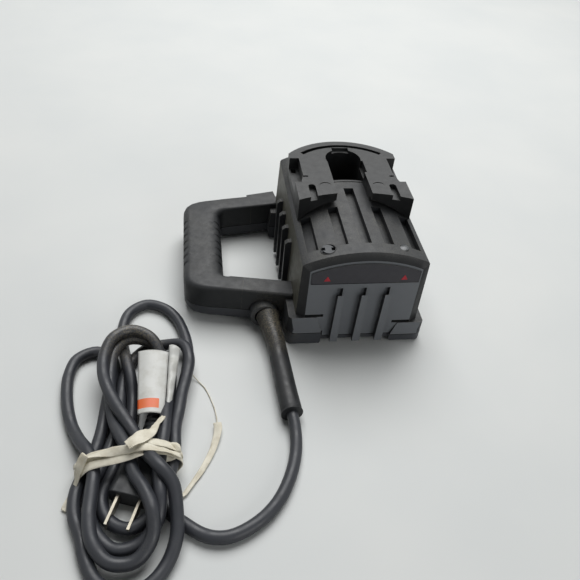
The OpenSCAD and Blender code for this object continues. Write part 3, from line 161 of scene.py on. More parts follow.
# %% Route of the lead
LEAD_D = 7.6
SLEEVE_ROUTE = [
    (-58.8, -9, 10.5), (-57.6, -24, 9.1), (-56.8, -34.7, 8.2), (-55.9, -48, 7.3), (-55.1, -59, 7),
]
BENCH_ROUTE = [
    (-54.2, -70, 6.9), (-53.4, -80, 5.2), (-54.2, -91.5, 4), (-57.2, -104, 3.9), (-62.4, -116.6, 3.9),
    (-69.6, -128, 3.9), (-79.2, -137.5, 3.9), (-91, -144.2, 3.9), (-101.5, -146.5, 3.9),
]
HANK_ROUTE = [
    (-112, -144, 3.9), (-122, -136.8, 3.9), (-130.7, -128.1, 3.9), (-133.3, -114.4, 3.9),
    (-132.4, -100.4, 3.9), (-130.5, -87.2, 3.8), (-128.2, -73.7, 3.8), (-127.5, -59.8, 3.8),
    (-124, -46.2, 3.8), (-121.3, -32.4, 3.8), (-119.5, -18.5, 3.8), (-120, -4.5, 3.8),
    (-122.8, 9.3, 3.8), (-127.8, 22.4, 3.8), (-136.5, 33.2, 3.8), (-149.4, 37.9, 3.8),
    (-160.7, 30.5, 3.8), (-164.9, 17.3, 3.8), (-164.8, 3.2, 3.9), (-162.5, -10.2, 6.7),
    (-159.7, -23, 11.5), (-156.3, -36.4, 9.5), (-154.6, -49.6, 5.1), (-154.4, -63.6, 3.9),
    (-155.9, -77.5, 3.9), (-159.4, -91.1, 3.9), (-163.4, -104.6, 3.8), (-167.7, -117.9, 3.9),
    (-163.3, -131.2, 4.2), (-151.8, -138, 5.1), (-139.8, -132, 6.8), (-134.2, -120.3, 11.3),
    (-129.3, -107.1, 11.2), (-127.4, -93.4, 11), (-127.3, -79.4, 11.4), (-125.1, -65.5, 11),
    (-123.1, -51.6, 11.1), (-120.2, -37.9, 11.4), (-118.6, -24, 11.9), (-122.4, -10.8, 10.9),
    (-133.8, -5.3, 6), (-147.4, -6.8, 3.9), (-156.4, -17.1, 3.9), (-160.8, -30.4, 3.8),
    (-162.1, -44.4, 3.9), (-162.1, -58.4, 3.8), (-162.7, -72.4, 3.8), (-165.9, -86.1, 3.9),
    (-169.8, -99.6, 3.9), (-174.2, -112.9, 3.8), (-173.4, -126.6, 3.8), (-168, -139.6, 3.9),
    (-157.8, -148.7, 3.8), (-144.5, -146.3, 4.8), (-136, -137.2, 10.9), (-134.4, -125.5, 18.1),
    (-135.6, -111.7, 18.2), (-134.7, -97.7, 17), (-133.4, -83.8, 16.5), (-132.7, -69.9, 14.5),
    (-131.7, -56.6, 10.2), (-131, -43.1, 6.2), (-131.3, -29.4, 3.9), (-136, -16.5, 5.8),
    (-145.2, -7.8, 11.4), (-158.5, -6.8, 14.1), (-167.2, -17.1, 14.6), (-169, -30.7, 12),
    (-168.6, -44.7, 11.3), (-166.7, -58.6, 10.8), (-163.6, -72.3, 11.5), (-158.9, -84.9, 15.1),
    (-153.2, -97.4, 17.6), (-149.6, -111, 17.1), (-143.1, -123, 19.3), (-138.3, -135.7, 20.1),
    (-138.3, -147.5, 12.8), (-146.6, -156.9, 7.4), (-160, -156.7, 7.3), (-169, -146.6, 9.9),
    (-172, -133, 11.4), (-172.1, -119, 11.7), (-172.4, -105, 12.1), (-177, -91.9, 11.4),
    (-183.8, -80.5, 6.9), (-189.8, -68.2, 4.1), (-194, -54.8, 3.9), (-196.3, -40.9, 3.9),
    (-196.7, -26.9, 3.9), (-192.9, -13.6, 3.9), (-180.8, -7.7, 3.9), (-169.9, -15.6, 3.9),
    (-168.4, -29.4, 3.8), (-169.9, -43.3, 3.8), (-170.8, -57.3, 3.8), (-171.6, -71.3, 3.8),
    (-173.8, -85.2, 3.8), (-177.6, -98.7, 3.8), (-181.9, -112.1, 3.9), (-181.6, -126, 3.9),
    (-176.7, -139.2, 3.9), (-172.5, -152.6, 3.9), (-165.8, -164.7, 3.9), (-153.9, -171.7, 3.9),
    (-140.5, -168.9, 3.8), (-131, -158.8, 4.4), (-126, -146.3, 8.1), (-125.8, -133.5, 13.9),
    (-127.7, -121.7, 21.1), (-135.8, -112.1, 25.9), (-143, -101.1, 21.4), (-148.2, -89, 16.6),
    (-154.9, -76.8, 16.3), (-162.2, -64.9, 17.9), (-168.3, -52.3, 18.6), (-172.3, -38.8, 18.4),
    (-172.6, -24.9, 19.5), (-167.7, -12.3, 22.3), (-156.3, -5.1, 21.3), (-143.8, -10.1, 18.6),
    (-137.8, -20.5, 12), (-138.4, -33, 5.7), (-138.2, -46.8, 4.1), (-137.8, -60.7, 6.1),
    (-136.2, -74.6, 6.5),
]
lead_line = [at(*p) for p in smooth_line(SLEEVE_ROUTE + BENCH_ROUTE + HANK_ROUTE)]
print("route", len(lead_line), "points,", round(length_of(lead_line), 3), "m")

# %% [markdown]
# The stretch that lies open on the bench has to be one calm curve. Each of its points is pulled to the
# middle of its neighbours and then pushed away by slightly more, many times over. That takes out short
# wobbles and leaves the wide bend its size, which pulling alone would shrink.

# %% Calm the open stretch and sweep the lead
FIRST_POINTS = 120  # the open stretch lies within these
STRETCH_START, STRETCH_END = at(0, -84, 0).y, at(0, -152, 0).y
PULL, PUSH, ROUNDS = 0.5, -0.52, 30
resting = [k for k, p in enumerate(lead_line[:FIRST_POINTS]) if STRETCH_START > p.y > STRETCH_END]
for share in [PULL, PUSH] * ROUNDS:
    nudged = {k: lead_line[k].lerp((lead_line[k - 1] + lead_line[k + 1]) / 2, share) for k in resting}
    for k, p in nudged.items():
        lead_line[k] = p
lead = swept_tube("mains_lead", lead_line, mm(LEAD_D / 2))
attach(lead, "housing")
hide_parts("cord_lead", "cord_hank")
print("lead", round(length_of(lead_line), 3), "m")

# %% [markdown]
# ## Colours and nodes
# Paints are picked as sRGB hex numbers, the way a colour chart gives them, and Cycles works in linear
# light. One function converts them. A second small function adds a shader node with its settings and
# links. A Mix node has sockets for numbers, vectors and colours side by side, so those for colour get
# names here.

# %% Colours, nodes and the start of a material
MIX_SHARE, MIX_FIRST, MIX_SECOND, MIX_RESULT = 0, 6, 7, 2


def linear(code):
    """sRGB hex to linear RGBA."""
    parts = [int(code[i:i + 2], 16) / 255 for i in (1, 3, 5)]
    return (*[v / 12.92 if v <= 0.04045 else ((v + 0.055) / 1.055) ** 2.4 for v in parts], 1)


def add(tree, kind, sockets=None, **settings):
    """Adds a node. Settings are its properties. Sockets are its inputs: a value, or an output to link."""
    made = tree.nodes.new(kind)
    for key, value in settings.items():
        setattr(made, key, value)
    for key, value in (sockets or {}).items():
        if isinstance(value, bpy.types.NodeSocket):
            tree.links.new(value, made.inputs[key])
        else:
            made.inputs[key].default_value = value
    return made


def start_material(name, **plain):
    """A material with its Principled shader, whose plain values are set on its own sockets."""
    made = bpy.data.materials.new(name)
    made.use_nodes = True
    tree = made.node_tree
    shader = tree.nodes["Principled BSDF"]
    for key, value in plain.items():
        shader.inputs[key.replace("_", " ")].default_value = value
    where = add(tree, "ShaderNodeTexCoord").outputs["Object"]
    return made, tree, shader, where


print("grey #808080 is", round(linear("#808080")[0], 3), "in linear light")

# %% [markdown]
# Three patterns come back in most finishes: cloudy patches of a real size, how far a face looks along a
# direction, and dirt that clings round a place. Each is a few nodes long, and is made of noise, distance
# or the surface's normal, so it needs no image and no unwrapping.

# %% Patterns
def patches(tree, where, size_mm, low, high, detail=3.0, roughness=0.5, least=0.0, most=1.0):
    """Cloudy patches about size_mm across: noise from low to high, spread over least to most."""
    cloud = add(tree, "ShaderNodeTexNoise", {"Vector": where, "Scale": 1 / mm(size_mm), "Detail": detail,
        "Roughness": roughness})
    return add(tree, "ShaderNodeMapRange", {"Value": cloud.outputs["Fac"], "From Min": low, "From Max": high,
        "To Min": least, "To Max": most}).outputs["Result"]


def facing(tree, direction, low=0.2, high=0.95):
    """How far a face looks along a direction, 0 to 1."""
    normal = add(tree, "ShaderNodeNewGeometry").outputs["Normal"]
    along = add(tree, "ShaderNodeVectorMath", {0: normal, 1: direction}, operation="DOT_PRODUCT")
    return add(tree, "ShaderNodeMapRange", {"Value": along.outputs["Value"], "From Min": low,
        "From Max": high}).outputs["Result"]


def grimed(tree, where, base, place, reach_mm, amount=0.6):
    """Tan workshop dirt that clings round a place in fine flecks and thins out with distance."""
    apart = add(tree, "ShaderNodeVectorMath", {0: where, 1: place}, operation="DISTANCE").outputs["Value"]
    close = add(tree, "ShaderNodeMapRange", {"Value": apart, "From Min": mm(reach_mm),
        "From Max": mm(reach_mm * 0.25)}).outputs["Result"]
    flecks = patches(tree, where, 1.1, 0.45, 0.66, 4.0, 0.75)
    near = add(tree, "ShaderNodeMath", {0: close, 1: flecks}, operation="MULTIPLY").outputs[0]
    share = add(tree, "ShaderNodeMath", {0: near, 1: amount}, operation="MULTIPLY").outputs[0]
    return add(tree, "ShaderNodeMix", {MIX_SHARE: share, MIX_FIRST: base, MIX_SECOND: linear("#8d836b")},
        data_type="RGBA").outputs[MIX_RESULT]


print("patches of 0.5 mm have a noise scale of", 1 / mm(0.5))

# %% [markdown]
# ## Moulded plastics
# The shells are charcoal ABS moulded in a spark-eroded steel tool: a fine sandy texture that kills the
# gloss and catches dust. Real spark grain is about 0.1 mm, too fine to show here, so it is drawn at 0.5
# mm. Dust settles in pale beige on what looks up and to the left, and rubbed edges go a shade lighter.
# Clean ABS has an index of refraction near 1.5. A matt and dusty skin mirrors less, so the index is
# matched down to 1.42.

# %% How moulded plastic looks
SPARK_ABS_IOR = 1.42
DUST_FALL = (-0.35, -0.1, 0.93)


def edge_worn(tree, where, skin, wear, rubbed_colour):
    """Rubs edges paler: where a rounded normal leaves the true one, in patches of 3 mm."""
    normal = add(tree, "ShaderNodeNewGeometry").outputs["Normal"]
    rounded = add(tree, "ShaderNodeBevel", {"Radius": mm(0.8)}, samples=4).outputs["Normal"]
    level = add(tree, "ShaderNodeVectorMath", {0: normal, 1: rounded}, operation="DOT_PRODUCT")
    edges = add(tree, "ShaderNodeMapRange", {"Value": level.outputs["Value"], "From Min": 0.99,
        "From Max": 0.85}).outputs["Result"]
    spots = patches(tree, where, 3, 0.4, 0.6)
    rubbed = add(tree, "ShaderNodeMath", {0: edges, 1: spots}, operation="MULTIPLY").outputs[0]
    share = add(tree, "ShaderNodeMath", {0: rubbed, 1: wear}, operation="MULTIPLY").outputs[0]
    return add(tree, "ShaderNodeMix", {MIX_SHARE: share, MIX_FIRST: skin, MIX_SECOND: rubbed_colour},
        data_type="RGBA").outputs[MIX_RESULT]


def moulded_plastic(name, colour, painted_top_colour, dust_colour, dust=0.35, grain_mm=0.5, depth_mm=0.03, gloss=0.52,
        wear=0.2, grime=None):
    """Moulded plastic: bare on the walls, painted light or shade on what looks up, a film of fine dust there,
    rubbed paler on its edges.
    """
    made, tree, shader, where = start_material(name, IOR=SPARK_ABS_IOR)
    # Faces that look up get painted_top_colour: painted light or shade from above, not a finish of their own.
    upward = facing(tree, (0, 0, 1), 0.35, 0.8)
    skin = add(tree, "ShaderNodeMix", {MIX_SHARE: upward, MIX_FIRST: linear(colour),
        MIX_SECOND: linear(painted_top_colour)}, data_type="RGBA").outputs[MIX_RESULT]
    shades = patches(tree, where, 26, 0.3, 0.7, detail=4.0)
    flecks = patches(tree, where, 0.8, 0.42, 0.72, roughness=0.7)
    clouds = add(tree, "ShaderNodeMath", {0: flecks, 1: shades}, operation="MULTIPLY").outputs[0]
    settled = add(tree, "ShaderNodeMath", {0: facing(tree, DUST_FALL), 1: clouds},
        operation="MULTIPLY").outputs[0]
    film = add(tree, "ShaderNodeMath", {0: settled, 1: dust}, operation="MULTIPLY").outputs[0]
    skin = add(tree, "ShaderNodeMix", {MIX_SHARE: film, MIX_FIRST: skin, MIX_SECOND: linear(dust_colour)},
        data_type="RGBA").outputs[MIX_RESULT]
    if grime:
        skin = grimed(tree, where, skin, *grime)
    skin = edge_worn(tree, where, skin, wear, linear(dust_colour))
    tree.links.new(skin, shader.inputs["Base Color"])
    rough = patches(tree, where, 5, 0.3, 0.7, least=gloss - 0.06, most=gloss + 0.08)
    tree.links.new(rough, shader.inputs["Roughness"])
    grain = add(tree, "ShaderNodeTexNoise", {"Vector": where, "Scale": 1 / mm(grain_mm), "Detail": 3.0,
        "Roughness": 0.6}).outputs["Fac"]
    bump = add(tree, "ShaderNodeBump", {"Height": grain, "Strength": 0.6, "Distance": mm(depth_mm)})
    tree.links.new(bump.outputs["Normal"], shader.inputs["Normal"])
    return made


print("dust falls along", DUST_FALL)

# %% [markdown]
# One moulding compound gives several looks on this charger, by how each face was handled and how dust reached
# it, and by painted light on the front wall, the left flank and what looks up. The dirt round the gland,
# where the lead leaves the handle, reaches 26 mm out.

# %% Plastics of the charger
GLAND = (at(-62, -2, 20), 26)
# In each call the second colour is painted light or shade on the faces that look up.
# Spark-textured ABS: an even, soft charcoal with no clear reflection.
charcoal_abs = moulded_plastic("charcoal_abs_spark_texture", "#1e2023", "#1f2124", "#7f7b6c")
# The same ABS on the left flank, paler and browner: workshop dust, and painted light from the left.
flank_dust_and_light_abs = moulded_plastic("charcoal_abs_flank_dust_and_light", "#403f36", "#403f36", "#8b8673", dust=0.3)
# The front face, painted a cooler and paler grey: painted light, as if the front wall were lit from the
# front.
front_painted_lit_abs = moulded_plastic("charcoal_abs_front_painted_lit", "#66696d", "#35383b", "#8f8c80", dust=0.3, wear=0.3)
# The handle, kept dark and almost bare by hands, with dirt only at the gland.
handle_abs = moulded_plastic("charcoal_abs_handle", "#121416", "#1a1c1f", "#7f7b6c", dust=0.2, grime=GLAND)
# The lower shell, whose bumpers are scuffed a shade paler.
foot_abs = moulded_plastic("charcoal_abs_lower_shell", "#383a3e", "#303336", "#6d6a60", dust=0.25,
    grime=GLAND)
# The bevel round the front panel: a dark, hardly worn band.
rim_abs = moulded_plastic("charcoal_abs_bevel_band", "#0e0f11", "#101113", "#8a8880", dust=0.4, wear=0.1)
# The dock, polished by every battery that slid in: darker, smoother and less dusty.
dock_abs = moulded_plastic("charcoal_abs_dock", "#0e0f10", "#111314", "#7a7973", dust=0.12, grain_mm=0.4,
    gloss=0.46)
# Grey ABS of the button: paler than what is round it, so that a finger finds it.
button_abs = moulded_plastic("grey_abs_button", "#25272a", "#3a3d41", "#7f7e78", dust=0.2, grain_mm=0.3)
# Black nylon of breaker and contact block: the deepest black of all, fine-grained.
black_nylon = moulded_plastic("black_nylon", "#0c0d0e", "#101112", "#4a4a48", dust=0.1, grain_mm=0.3)
# Printed polyester film of the label: flat, even and satin, with hardly any depth to its grain.
label_film = moulded_plastic("black_polyester_label_film", "#323136", "#323136", "#5c5a56", dust=0.1,
    grain_mm=0.3, depth_mm=0.008, gloss=0.5, wear=0.1)
# Red screen ink: one flat, slightly chalky colour.
red_ink = moulded_plastic("red_screen_ink", "#a8202e", "#a8202e", "#b06060", dust=0.1, wear=0)
print(len(bpy.data.materials), "materials so far")

# %% [markdown]
# ## Soft PVC
# The lead's jacket is soft black PVC. It is extruded, so it has hardly any texture of its own: what shows
# is a satin shine along the top of every turn, dry dust in patches, and faint scuffs along its length.
# Clean PVC has an index near 1.54, and handling dulls it to the 1.43 used here.

# %% Jacket, plug and sleeve
HANDLED_PVC_IOR = 1.43


def soft_pvc(name, colour, dust_colour, dust=0.3, gloss=0.42, grime=None):
    """Soft PVC: satin, with dry dust in patches on what looks up."""
    made, tree, shader, where = start_material(name, IOR=HANDLED_PVC_IOR)
    spots = patches(tree, where, 18, 0.5, 0.72, 5.0, 0.65)
    flecks = patches(tree, where, 0.9, 0.45, 0.75, roughness=0.7)
    clouds = add(tree, "ShaderNodeMath", {0: spots, 1: flecks}, operation="MULTIPLY").outputs[0]
    settled = add(tree, "ShaderNodeMath", {0: facing(tree, (-0.1, 0.1, 0.95)), 1: clouds},
        operation="MULTIPLY").outputs[0]
    film = add(tree, "ShaderNodeMath", {0: settled, 1: dust}, operation="MULTIPLY").outputs[0]
    skin = add(tree, "ShaderNodeMix", {MIX_SHARE: film, MIX_FIRST: linear(colour),
        MIX_SECOND: linear(dust_colour)}, data_type="RGBA").outputs[MIX_RESULT]
    if grime:
        skin = grimed(tree, where, skin, *grime)
    tree.links.new(skin, shader.inputs["Base Color"])
    rough = patches(tree, where, 7, 0.35, 0.7, detail=4.0, least=gloss - 0.08, most=gloss + 0.14)
    tree.links.new(rough, shader.inputs["Roughness"])
    scuffs = add(tree, "ShaderNodeTexNoise", {"Vector": where, "Scale": 1 / mm(1.2),
        "Detail": 4.0}).outputs["Fac"]
    bump = add(tree, "ShaderNodeBump", {"Height": scuffs, "Strength": 0.35, "Distance": mm(0.04)})
    tree.links.new(bump.outputs["Normal"], shader.inputs["Normal"])
    return made


# The jacket: blue-black, with tan dirt on the fold that has lain nearest the handle.
lead_pvc = soft_pvc("black_pvc_jacket", "#2e3035", "#6f6b62", grime=(at(-156, -6, 22), 30))
# The moulded plug: the same PVC, duller from being gripped.
plug_pvc = soft_pvc("black_pvc_moulded_plug", "#222426", "#66625a", gloss=0.48)
# The sleeve: sticky with age, so the tan dirt of the gland runs down it.
sleeve_pvc = soft_pvc("dusty_pvc_sleeve", "#191a1c", "#8c877b", dust=0.18, gloss=0.46,
    grime=(at(-54, 2, 16), 30, 0.6))
print(lead_pvc.name, plug_pvc.name, sleeve_pvc.name)

# %% [markdown]
# ## Metals
# The plug's blades are nickel-plated brass, dulled by sockets. The rest of the metal is inside: plated
# screws, brass clips, an extruded heat sink, varnished laminations and enamelled copper. Fine rubbing,
# about 0.3 mm from line to line, breaks up the reflection, and a thin brownish tarnish lies over it in
# patches of 4 mm.

# %% Nickel, zinc, brass, aluminium, steel and copper
def plain_metal(name, colour, rough):
    """A rubbed metal with a thin tarnish."""
    made, tree, shader, where = start_material(name, Metallic=1.0)
    tarnish = patches(tree, where, 4, 0.35, 0.7, most=0.25)
    skin = add(tree, "ShaderNodeMix", {MIX_SHARE: tarnish, MIX_FIRST: linear(colour),
        MIX_SECOND: linear("#5a5650")}, data_type="RGBA").outputs[MIX_RESULT]
    tree.links.new(skin, shader.inputs["Base Color"])
    rubbing = patches(tree, where, 0.3, 0.3, 0.7, least=rough - 0.06, most=rough + 0.12)
    tree.links.new(rubbing, shader.inputs["Roughness"])
    return made


# Plated blades are a warm grey and mirror softly. Zinc is paler and bluer, brass is yellow and aluminium is
# almost white.
nickel = plain_metal("nickel_plated_brass", "#8f8a7e", 0.42)
zinc = plain_metal("zinc_plated_steel", "#b9bcc0", 0.4)
brass = plain_metal("brass_strip", "#d2b060", 0.32)
aluminium = plain_metal("extruded_aluminium", "#cfd1d3", 0.4)
# Varnish dulls the stacked steel sheets. The enamel on copper wire gives an orange shine.
steel_sheets = plain_metal("varnished_laminations", "#6a6d72", 0.55)
copper_winding = plain_metal("enamelled_copper", "#b46a3c", 0.35)
print("metals", [made.name for made in (nickel, zinc, brass, aluminium, steel_sheets, copper_winding)])

# %% [markdown]
# ## Paper
# The tie is cream paper tape with a thin wire in it, matt and crumpled. The flag is coated paper: smooth
# enough for a soft shine, with its print as a plain orange band. Both have yellowed in patches of 9 mm.
# Paper fibres are about 0.03 mm thick, too fine to show, so they are drawn 0.4 to 0.7 mm apart.

# %% Tie and flag
def aged_paper(name, colour, stain, rough=0.6, fibre_mm=0.4, depth_mm=0.03):
    """Paper with faint stains and raised fibres."""
    made, tree, shader, where = start_material(name, IOR=1.5, Roughness=rough)
    stains = patches(tree, where, 9, 0.42, 0.72, 5.0, 0.65)
    share = add(tree, "ShaderNodeMath", {0: stains, 1: 0.5}, operation="MULTIPLY").outputs[0]
    skin = add(tree, "ShaderNodeMix", {MIX_SHARE: share, MIX_FIRST: linear(colour),
        MIX_SECOND: linear(stain)}, data_type="RGBA").outputs[MIX_RESULT]
    tree.links.new(skin, shader.inputs["Base Color"])
    fibres = add(tree, "ShaderNodeTexNoise", {"Vector": where, "Scale": 1 / mm(fibre_mm), "Detail": 4.0,
        "Roughness": 0.6}).outputs["Fac"]
    bump = add(tree, "ShaderNodeBump", {"Height": fibres, "Strength": 0.5, "Distance": mm(depth_mm)})
    tree.links.new(bump.outputs["Normal"], shader.inputs["Normal"])
    return made


# Twist-tie paper: cream, dry and visibly fibrous.
tie_paper = aged_paper("cream_twist_tie_paper", "#e2ddcc", "#9f9273", fibre_mm=0.7, depth_mm=0.2)
# Coated paper: a smoother, cooler off-white.
flag_paper = aged_paper("coated_flag_paper", "#c6c7c3", "#9d9a8e", rough=0.45)
# Orange ink on the same coating.
flag_orange = aged_paper("orange_ink_on_coated_paper", "#d8602c", "#c4763f", rough=0.45)
print(len(bpy.data.materials), "materials")

# %% [markdown]
# ## Softened edges
# No moulded part has a knife edge: the tool is radiused and the plastic shrinks. Each visible CAD part is
# copied and its coplanar triangles are joined. On all but the handle halves and the spring, a small bevel
# follows every sharp edge so that it catches light.

# %% Dressing a CAD part
SHARP = math.radians(32)


def dress(node, material, bevel_mm, body="housing"):
    """A copy of a CAD part with joined faces and a small bevel, which stands for that part."""
    mesh = bpy.data.meshes.new(node + "_dressed")
    bm = bmesh.new()
    bm.from_mesh(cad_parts[node].data)
    bmesh.ops.remove_doubles(bm, verts=bm.verts, dist=1e-5)
    bmesh.ops.dissolve_limit(bm, angle_limit=math.radians(0.4), verts=bm.verts, edges=bm.edges)
    for face in bm.faces:
        face.smooth = True
    for edge in bm.edges:
        edge.smooth = edge.is_manifold and edge.calc_face_angle(0) < SHARP
    bm.to_mesh(mesh)
    bm.free()
    for name in ("custom_normal", "sharp_face"):
        if name in mesh.attributes:
            mesh.attributes.remove(mesh.attributes[name])
    for face in mesh.polygons:
        face.use_smooth = True
    made = bpy.data.objects.new(node + "_dressed", mesh)
    bpy.context.scene.collection.objects.link(made)
    made.data.materials.append(material)
    if bevel_mm:
        bevel = made.modifiers.new("soft_edges", "BEVEL")
        bevel.width = mm(bevel_mm)
        bevel.segments = 2
        bevel.limit_method = "ANGLE"
        bevel.angle_limit = SHARP
        bevel.miter_outer = "MITER_ARC"
        made.modifiers.new("even_normals", "WEIGHTED_NORMAL").keep_sharp = True
    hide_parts(node)
    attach(made, body)
    return made


PLASTIC_PARTS = [
    ("top_housing", charcoal_abs, 0.5), ("base_housing", foot_abs, 0.5), ("handle_upper", handle_abs, 0),
    ("handle_lower", foot_abs, 0), ("battery_dock", dock_abs, 0.5), ("terminal_block", black_nylon, 0.2),
    ("label_plate", label_film, 0.15), ("plug_body", plug_pvc, 0.5)]
for node, material, bevel_mm in PLASTIC_PARTS:
    made = dress(node, material, bevel_mm)
    print(made.name, len(made.data.polygons), "faces")
dress("reset_button", button_abs, 0.3, body="button")

# %% [markdown]
# The upper shell is one moulding, but its faces look different: some have aged in their own ways, and the
# front wall and left flank carry painted light. It could be cut into several pieces, but a test on each
# face's middle and direction gives it another finish and leaves the shell whole.

# %% Finishes by place
HANDLE_ROOT_X = -51


def paint(name, material, chosen):
    """Gives the faces a test picks, by middle in mm and direction, another finish."""
    mesh = bpy.data.objects[name].data
    mesh.materials.append(material)
    picked = [face for face in mesh.polygons if chosen((face.center - at(0, 0, 0)) * 1000, face.normal)]
    for face in picked:
        face.material_index = len(mesh.materials) - 1
    print(name, material.name, len(picked), "faces")


# The front wall, the roots of the handle, the left flank, and the 3 mm bevel over and beside the panel.
# Painted light: the front wall, feet included, is drawn paler, as if lit from the front.
paint("top_housing_dressed", front_painted_lit_abs, lambda p, n: n.y < -0.93 and p.y < 0.5 and p.x > HANDLE_ROOT_X)
paint("top_housing_dressed", handle_abs, lambda p, n: p.x < HANDLE_ROOT_X)
# The left flank is drawn paler: dust, and painted light from the left.
paint("top_housing_dressed", flank_dust_and_light_abs, lambda p, n: n.x < -0.95 and -46 < p.x < -40 and p.z > 17)
paint("top_housing_dressed", rim_abs,
    lambda p, n: -3.2 < p.y < 0 and -0.92 < n.y < -0.8 and (abs(p.x) > 37 or n.z > 0.3))

# %% [markdown]
# Under the button sits a coil spring. Pressing the button 2 mm closes its turns by the same 2 mm. Here it
# is finished in plated zinc and gets a mesh of its own.

# %% Spring
spring = dress("reset_spring", zinc, 0)
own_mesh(spring)

# %% [markdown]
# ## Label and collar
# The label has a raised rim that catches the light. The rim is a thin tube along the label's own outline,
# which is read from the label's front face, so the two always agree.

# %% Label rim
RIM_R = 0.22
label = bpy.data.objects["label_plate_dressed"].data
face = max((f for f in label.polygons if f.normal.y < -0.9), key=lambda f: f.area)
outline = [label.vertices[i].co.copy() for i in face.vertices]
rim = swept_tube("label_rim", outline + outline[:1], mm(RIM_R), 6)
rim.data.materials.append(charcoal_abs)
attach(rim, "housing")
print("rim", round(length_of(outline), 3), "m")

# %% [markdown]
# Two plain red triangles on the label point up at the button and the lamp. Real screen ink is far thinner
# than the 0.17 mm drawn here, which lets a triangle stand clear of the film under it.

# %% Printed marks
MARK_X, MARK_HALF, MARK_LOW, MARK_TIP = 26.5, 2.3, 59.6, 63.8
INK_FRONT, INK_BACK = -3.62, -3.45
for side, x in (("left", -MARK_X), ("right", MARK_X)):
    mark = bmesh.new()
    corners = [(x - MARK_HALF, MARK_LOW), (x + MARK_HALF, MARK_LOW), (x, MARK_TIP)]
    front, back = [[mark.verts.new(at(px, y, pz)) for px, pz in corners] for y in (INK_FRONT, INK_BACK)]
    mark.faces.new(front)
    mark.faces.new(back[::-1])
    for i in range(3):
        mark.faces.new((front[i], back[i], back[i - 2], front[i - 2]))
    bmesh.ops.recalc_face_normals(mark, faces=mark.faces)
    made = object_from(mark, side + "_mark")
    made.data.materials.append(red_ink)
    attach(made, "housing")
    print(made.name, "tip", at(x, INK_FRONT, MARK_TIP))

# %% [markdown]
# Round the button a black ring lies in the gap between button and housing. It is painted shade: it darkens
# the gap, in the black nylon of the breaker's collar. The top of the housing is an arch, so each point of the
# ring gets its height from the arch's circle.

# %% Painted shade in the button's gap
BUTTON_X, BUTTON_Y = -26, 8
GAP_SHADE_RING_R, GAP_SHADE_WIRE_R = 4.9, 0.45
ARCH_R, ARCH_MIDDLE_Z = 99.6, -18.65
collar_line = []
for angle in [k * math.tau / 40 for k in range(41)]:
    x = BUTTON_X + GAP_SHADE_RING_R * math.cos(angle)
    y = BUTTON_Y + GAP_SHADE_RING_R * math.sin(angle)
    collar_line.append(at(x, y, math.sqrt(ARCH_R ** 2 - x ** 2) + ARCH_MIDDLE_Z))
collar = swept_tube("breaker_collar", collar_line, mm(GAP_SHADE_WIRE_R), 8)
collar.data.materials.append(black_nylon)
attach(collar, "housing")
print("collar", round(length_of(collar_line), 3), "m")

# %% [markdown]
# ## Sleeve at the gland
# Where the lead leaves the handle it runs in a long soft PVC sleeve that keeps it from being bent
# sharply. The real one is one moulding: 17 mm thick at the gland, 13 to 14 mm along the lead, with a
# narrow waist and a collar at its free end. A tube whose radius changes along its way gives that form
# with no seam.

# %% Sleeve
GLAND_ROUTE = [(-61.9, 13, 12.1), (-61, 4, 11.8)]
SLEEVE_R, SLEEVE_WIDENS = 6.3, 0.7
FLARE, FLARE_SHARE = 2.4, 0.34
WAIST, WAIST_SHARE = 0.5, 0.955
END_COLLAR_R, END_COLLAR_SHARE = 7.2, 0.972
sleeve_line = [at(*p) for p in smooth_line(GLAND_ROUTE + SLEEVE_ROUTE + BENCH_ROUTE[:1], 9)]


def sleeve_radius(share):
    """Radius in metres at a share of the sleeve's length."""
    if share > END_COLLAR_SHARE:
        return mm(END_COLLAR_R)
    flare = FLARE * max(0, 1 - share / FLARE_SHARE) ** 2
    return mm(SLEEVE_R + SLEEVE_WIDENS * share + flare - (WAIST if share > WAIST_SHARE else 0))


sleeve = swept_tube("lead_sleeve", sleeve_line, sleeve_radius, 24)
sleeve.data.materials.append(sleeve_pvc)
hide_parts("strain_relief", "gland_boot")
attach(sleeve, "housing")
print("sleeve", round(length_of(sleeve_line), 3), "m")

# %% [markdown]
# The plug's neck is ribbed across so that it bends instead of breaking. Neck and ribs are one tube again,
# whose radius steps up at each of six ribs.

# %% Ribbed neck of the plug
NECK_R, NECK_TAPER, RIB, RIB_WAVES = 6.6, 2, 0.9, 5.5
neck_line = [at(*p) for p in smooth_line([(-141.6, -87, 7.2), (-140.6, -78, 7.2), (-139.2, -67, 7)], 30)]


def neck_radius(share):
    """Radius in metres: it narrows along the neck and steps up at each rib."""
    on_rib = math.sin(share * math.tau * RIB_WAVES) > -0.1
    return mm(NECK_R - NECK_TAPER * share + (RIB if on_rib else 0))


neck = swept_tube("plug_neck_ribs", neck_line, neck_radius, 20)
neck.data.materials.append(plug_pvc)
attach(neck, "housing")
print("neck", round(length_of(neck_line), 3), "m")

# %% [markdown]
# ## Paper tie
# The hank is held by a torn strip of cream paper tape, pulled tight and knotted. A tape pulled tight
# round a bundle takes the shortest way round, which is the convex hull of what it holds. So the script
# looks where the lead crosses the plane of the tie and wraps those circles.

# %% Shortest way round the strands
TIE_LEFT, TIE_RIGHT = at(-178, -103.5, 0), at(-124, -98.5, 0)
REACH_LEFT, REACH_RIGHT = mm(-20), mm(75)
CIRCLE_DOTS, LOWEST = 16, mm(0.8)
tie_along = (TIE_RIGHT - TIE_LEFT).normalized()
tie_across = Vector((0, 0, 1)).cross(tie_along)


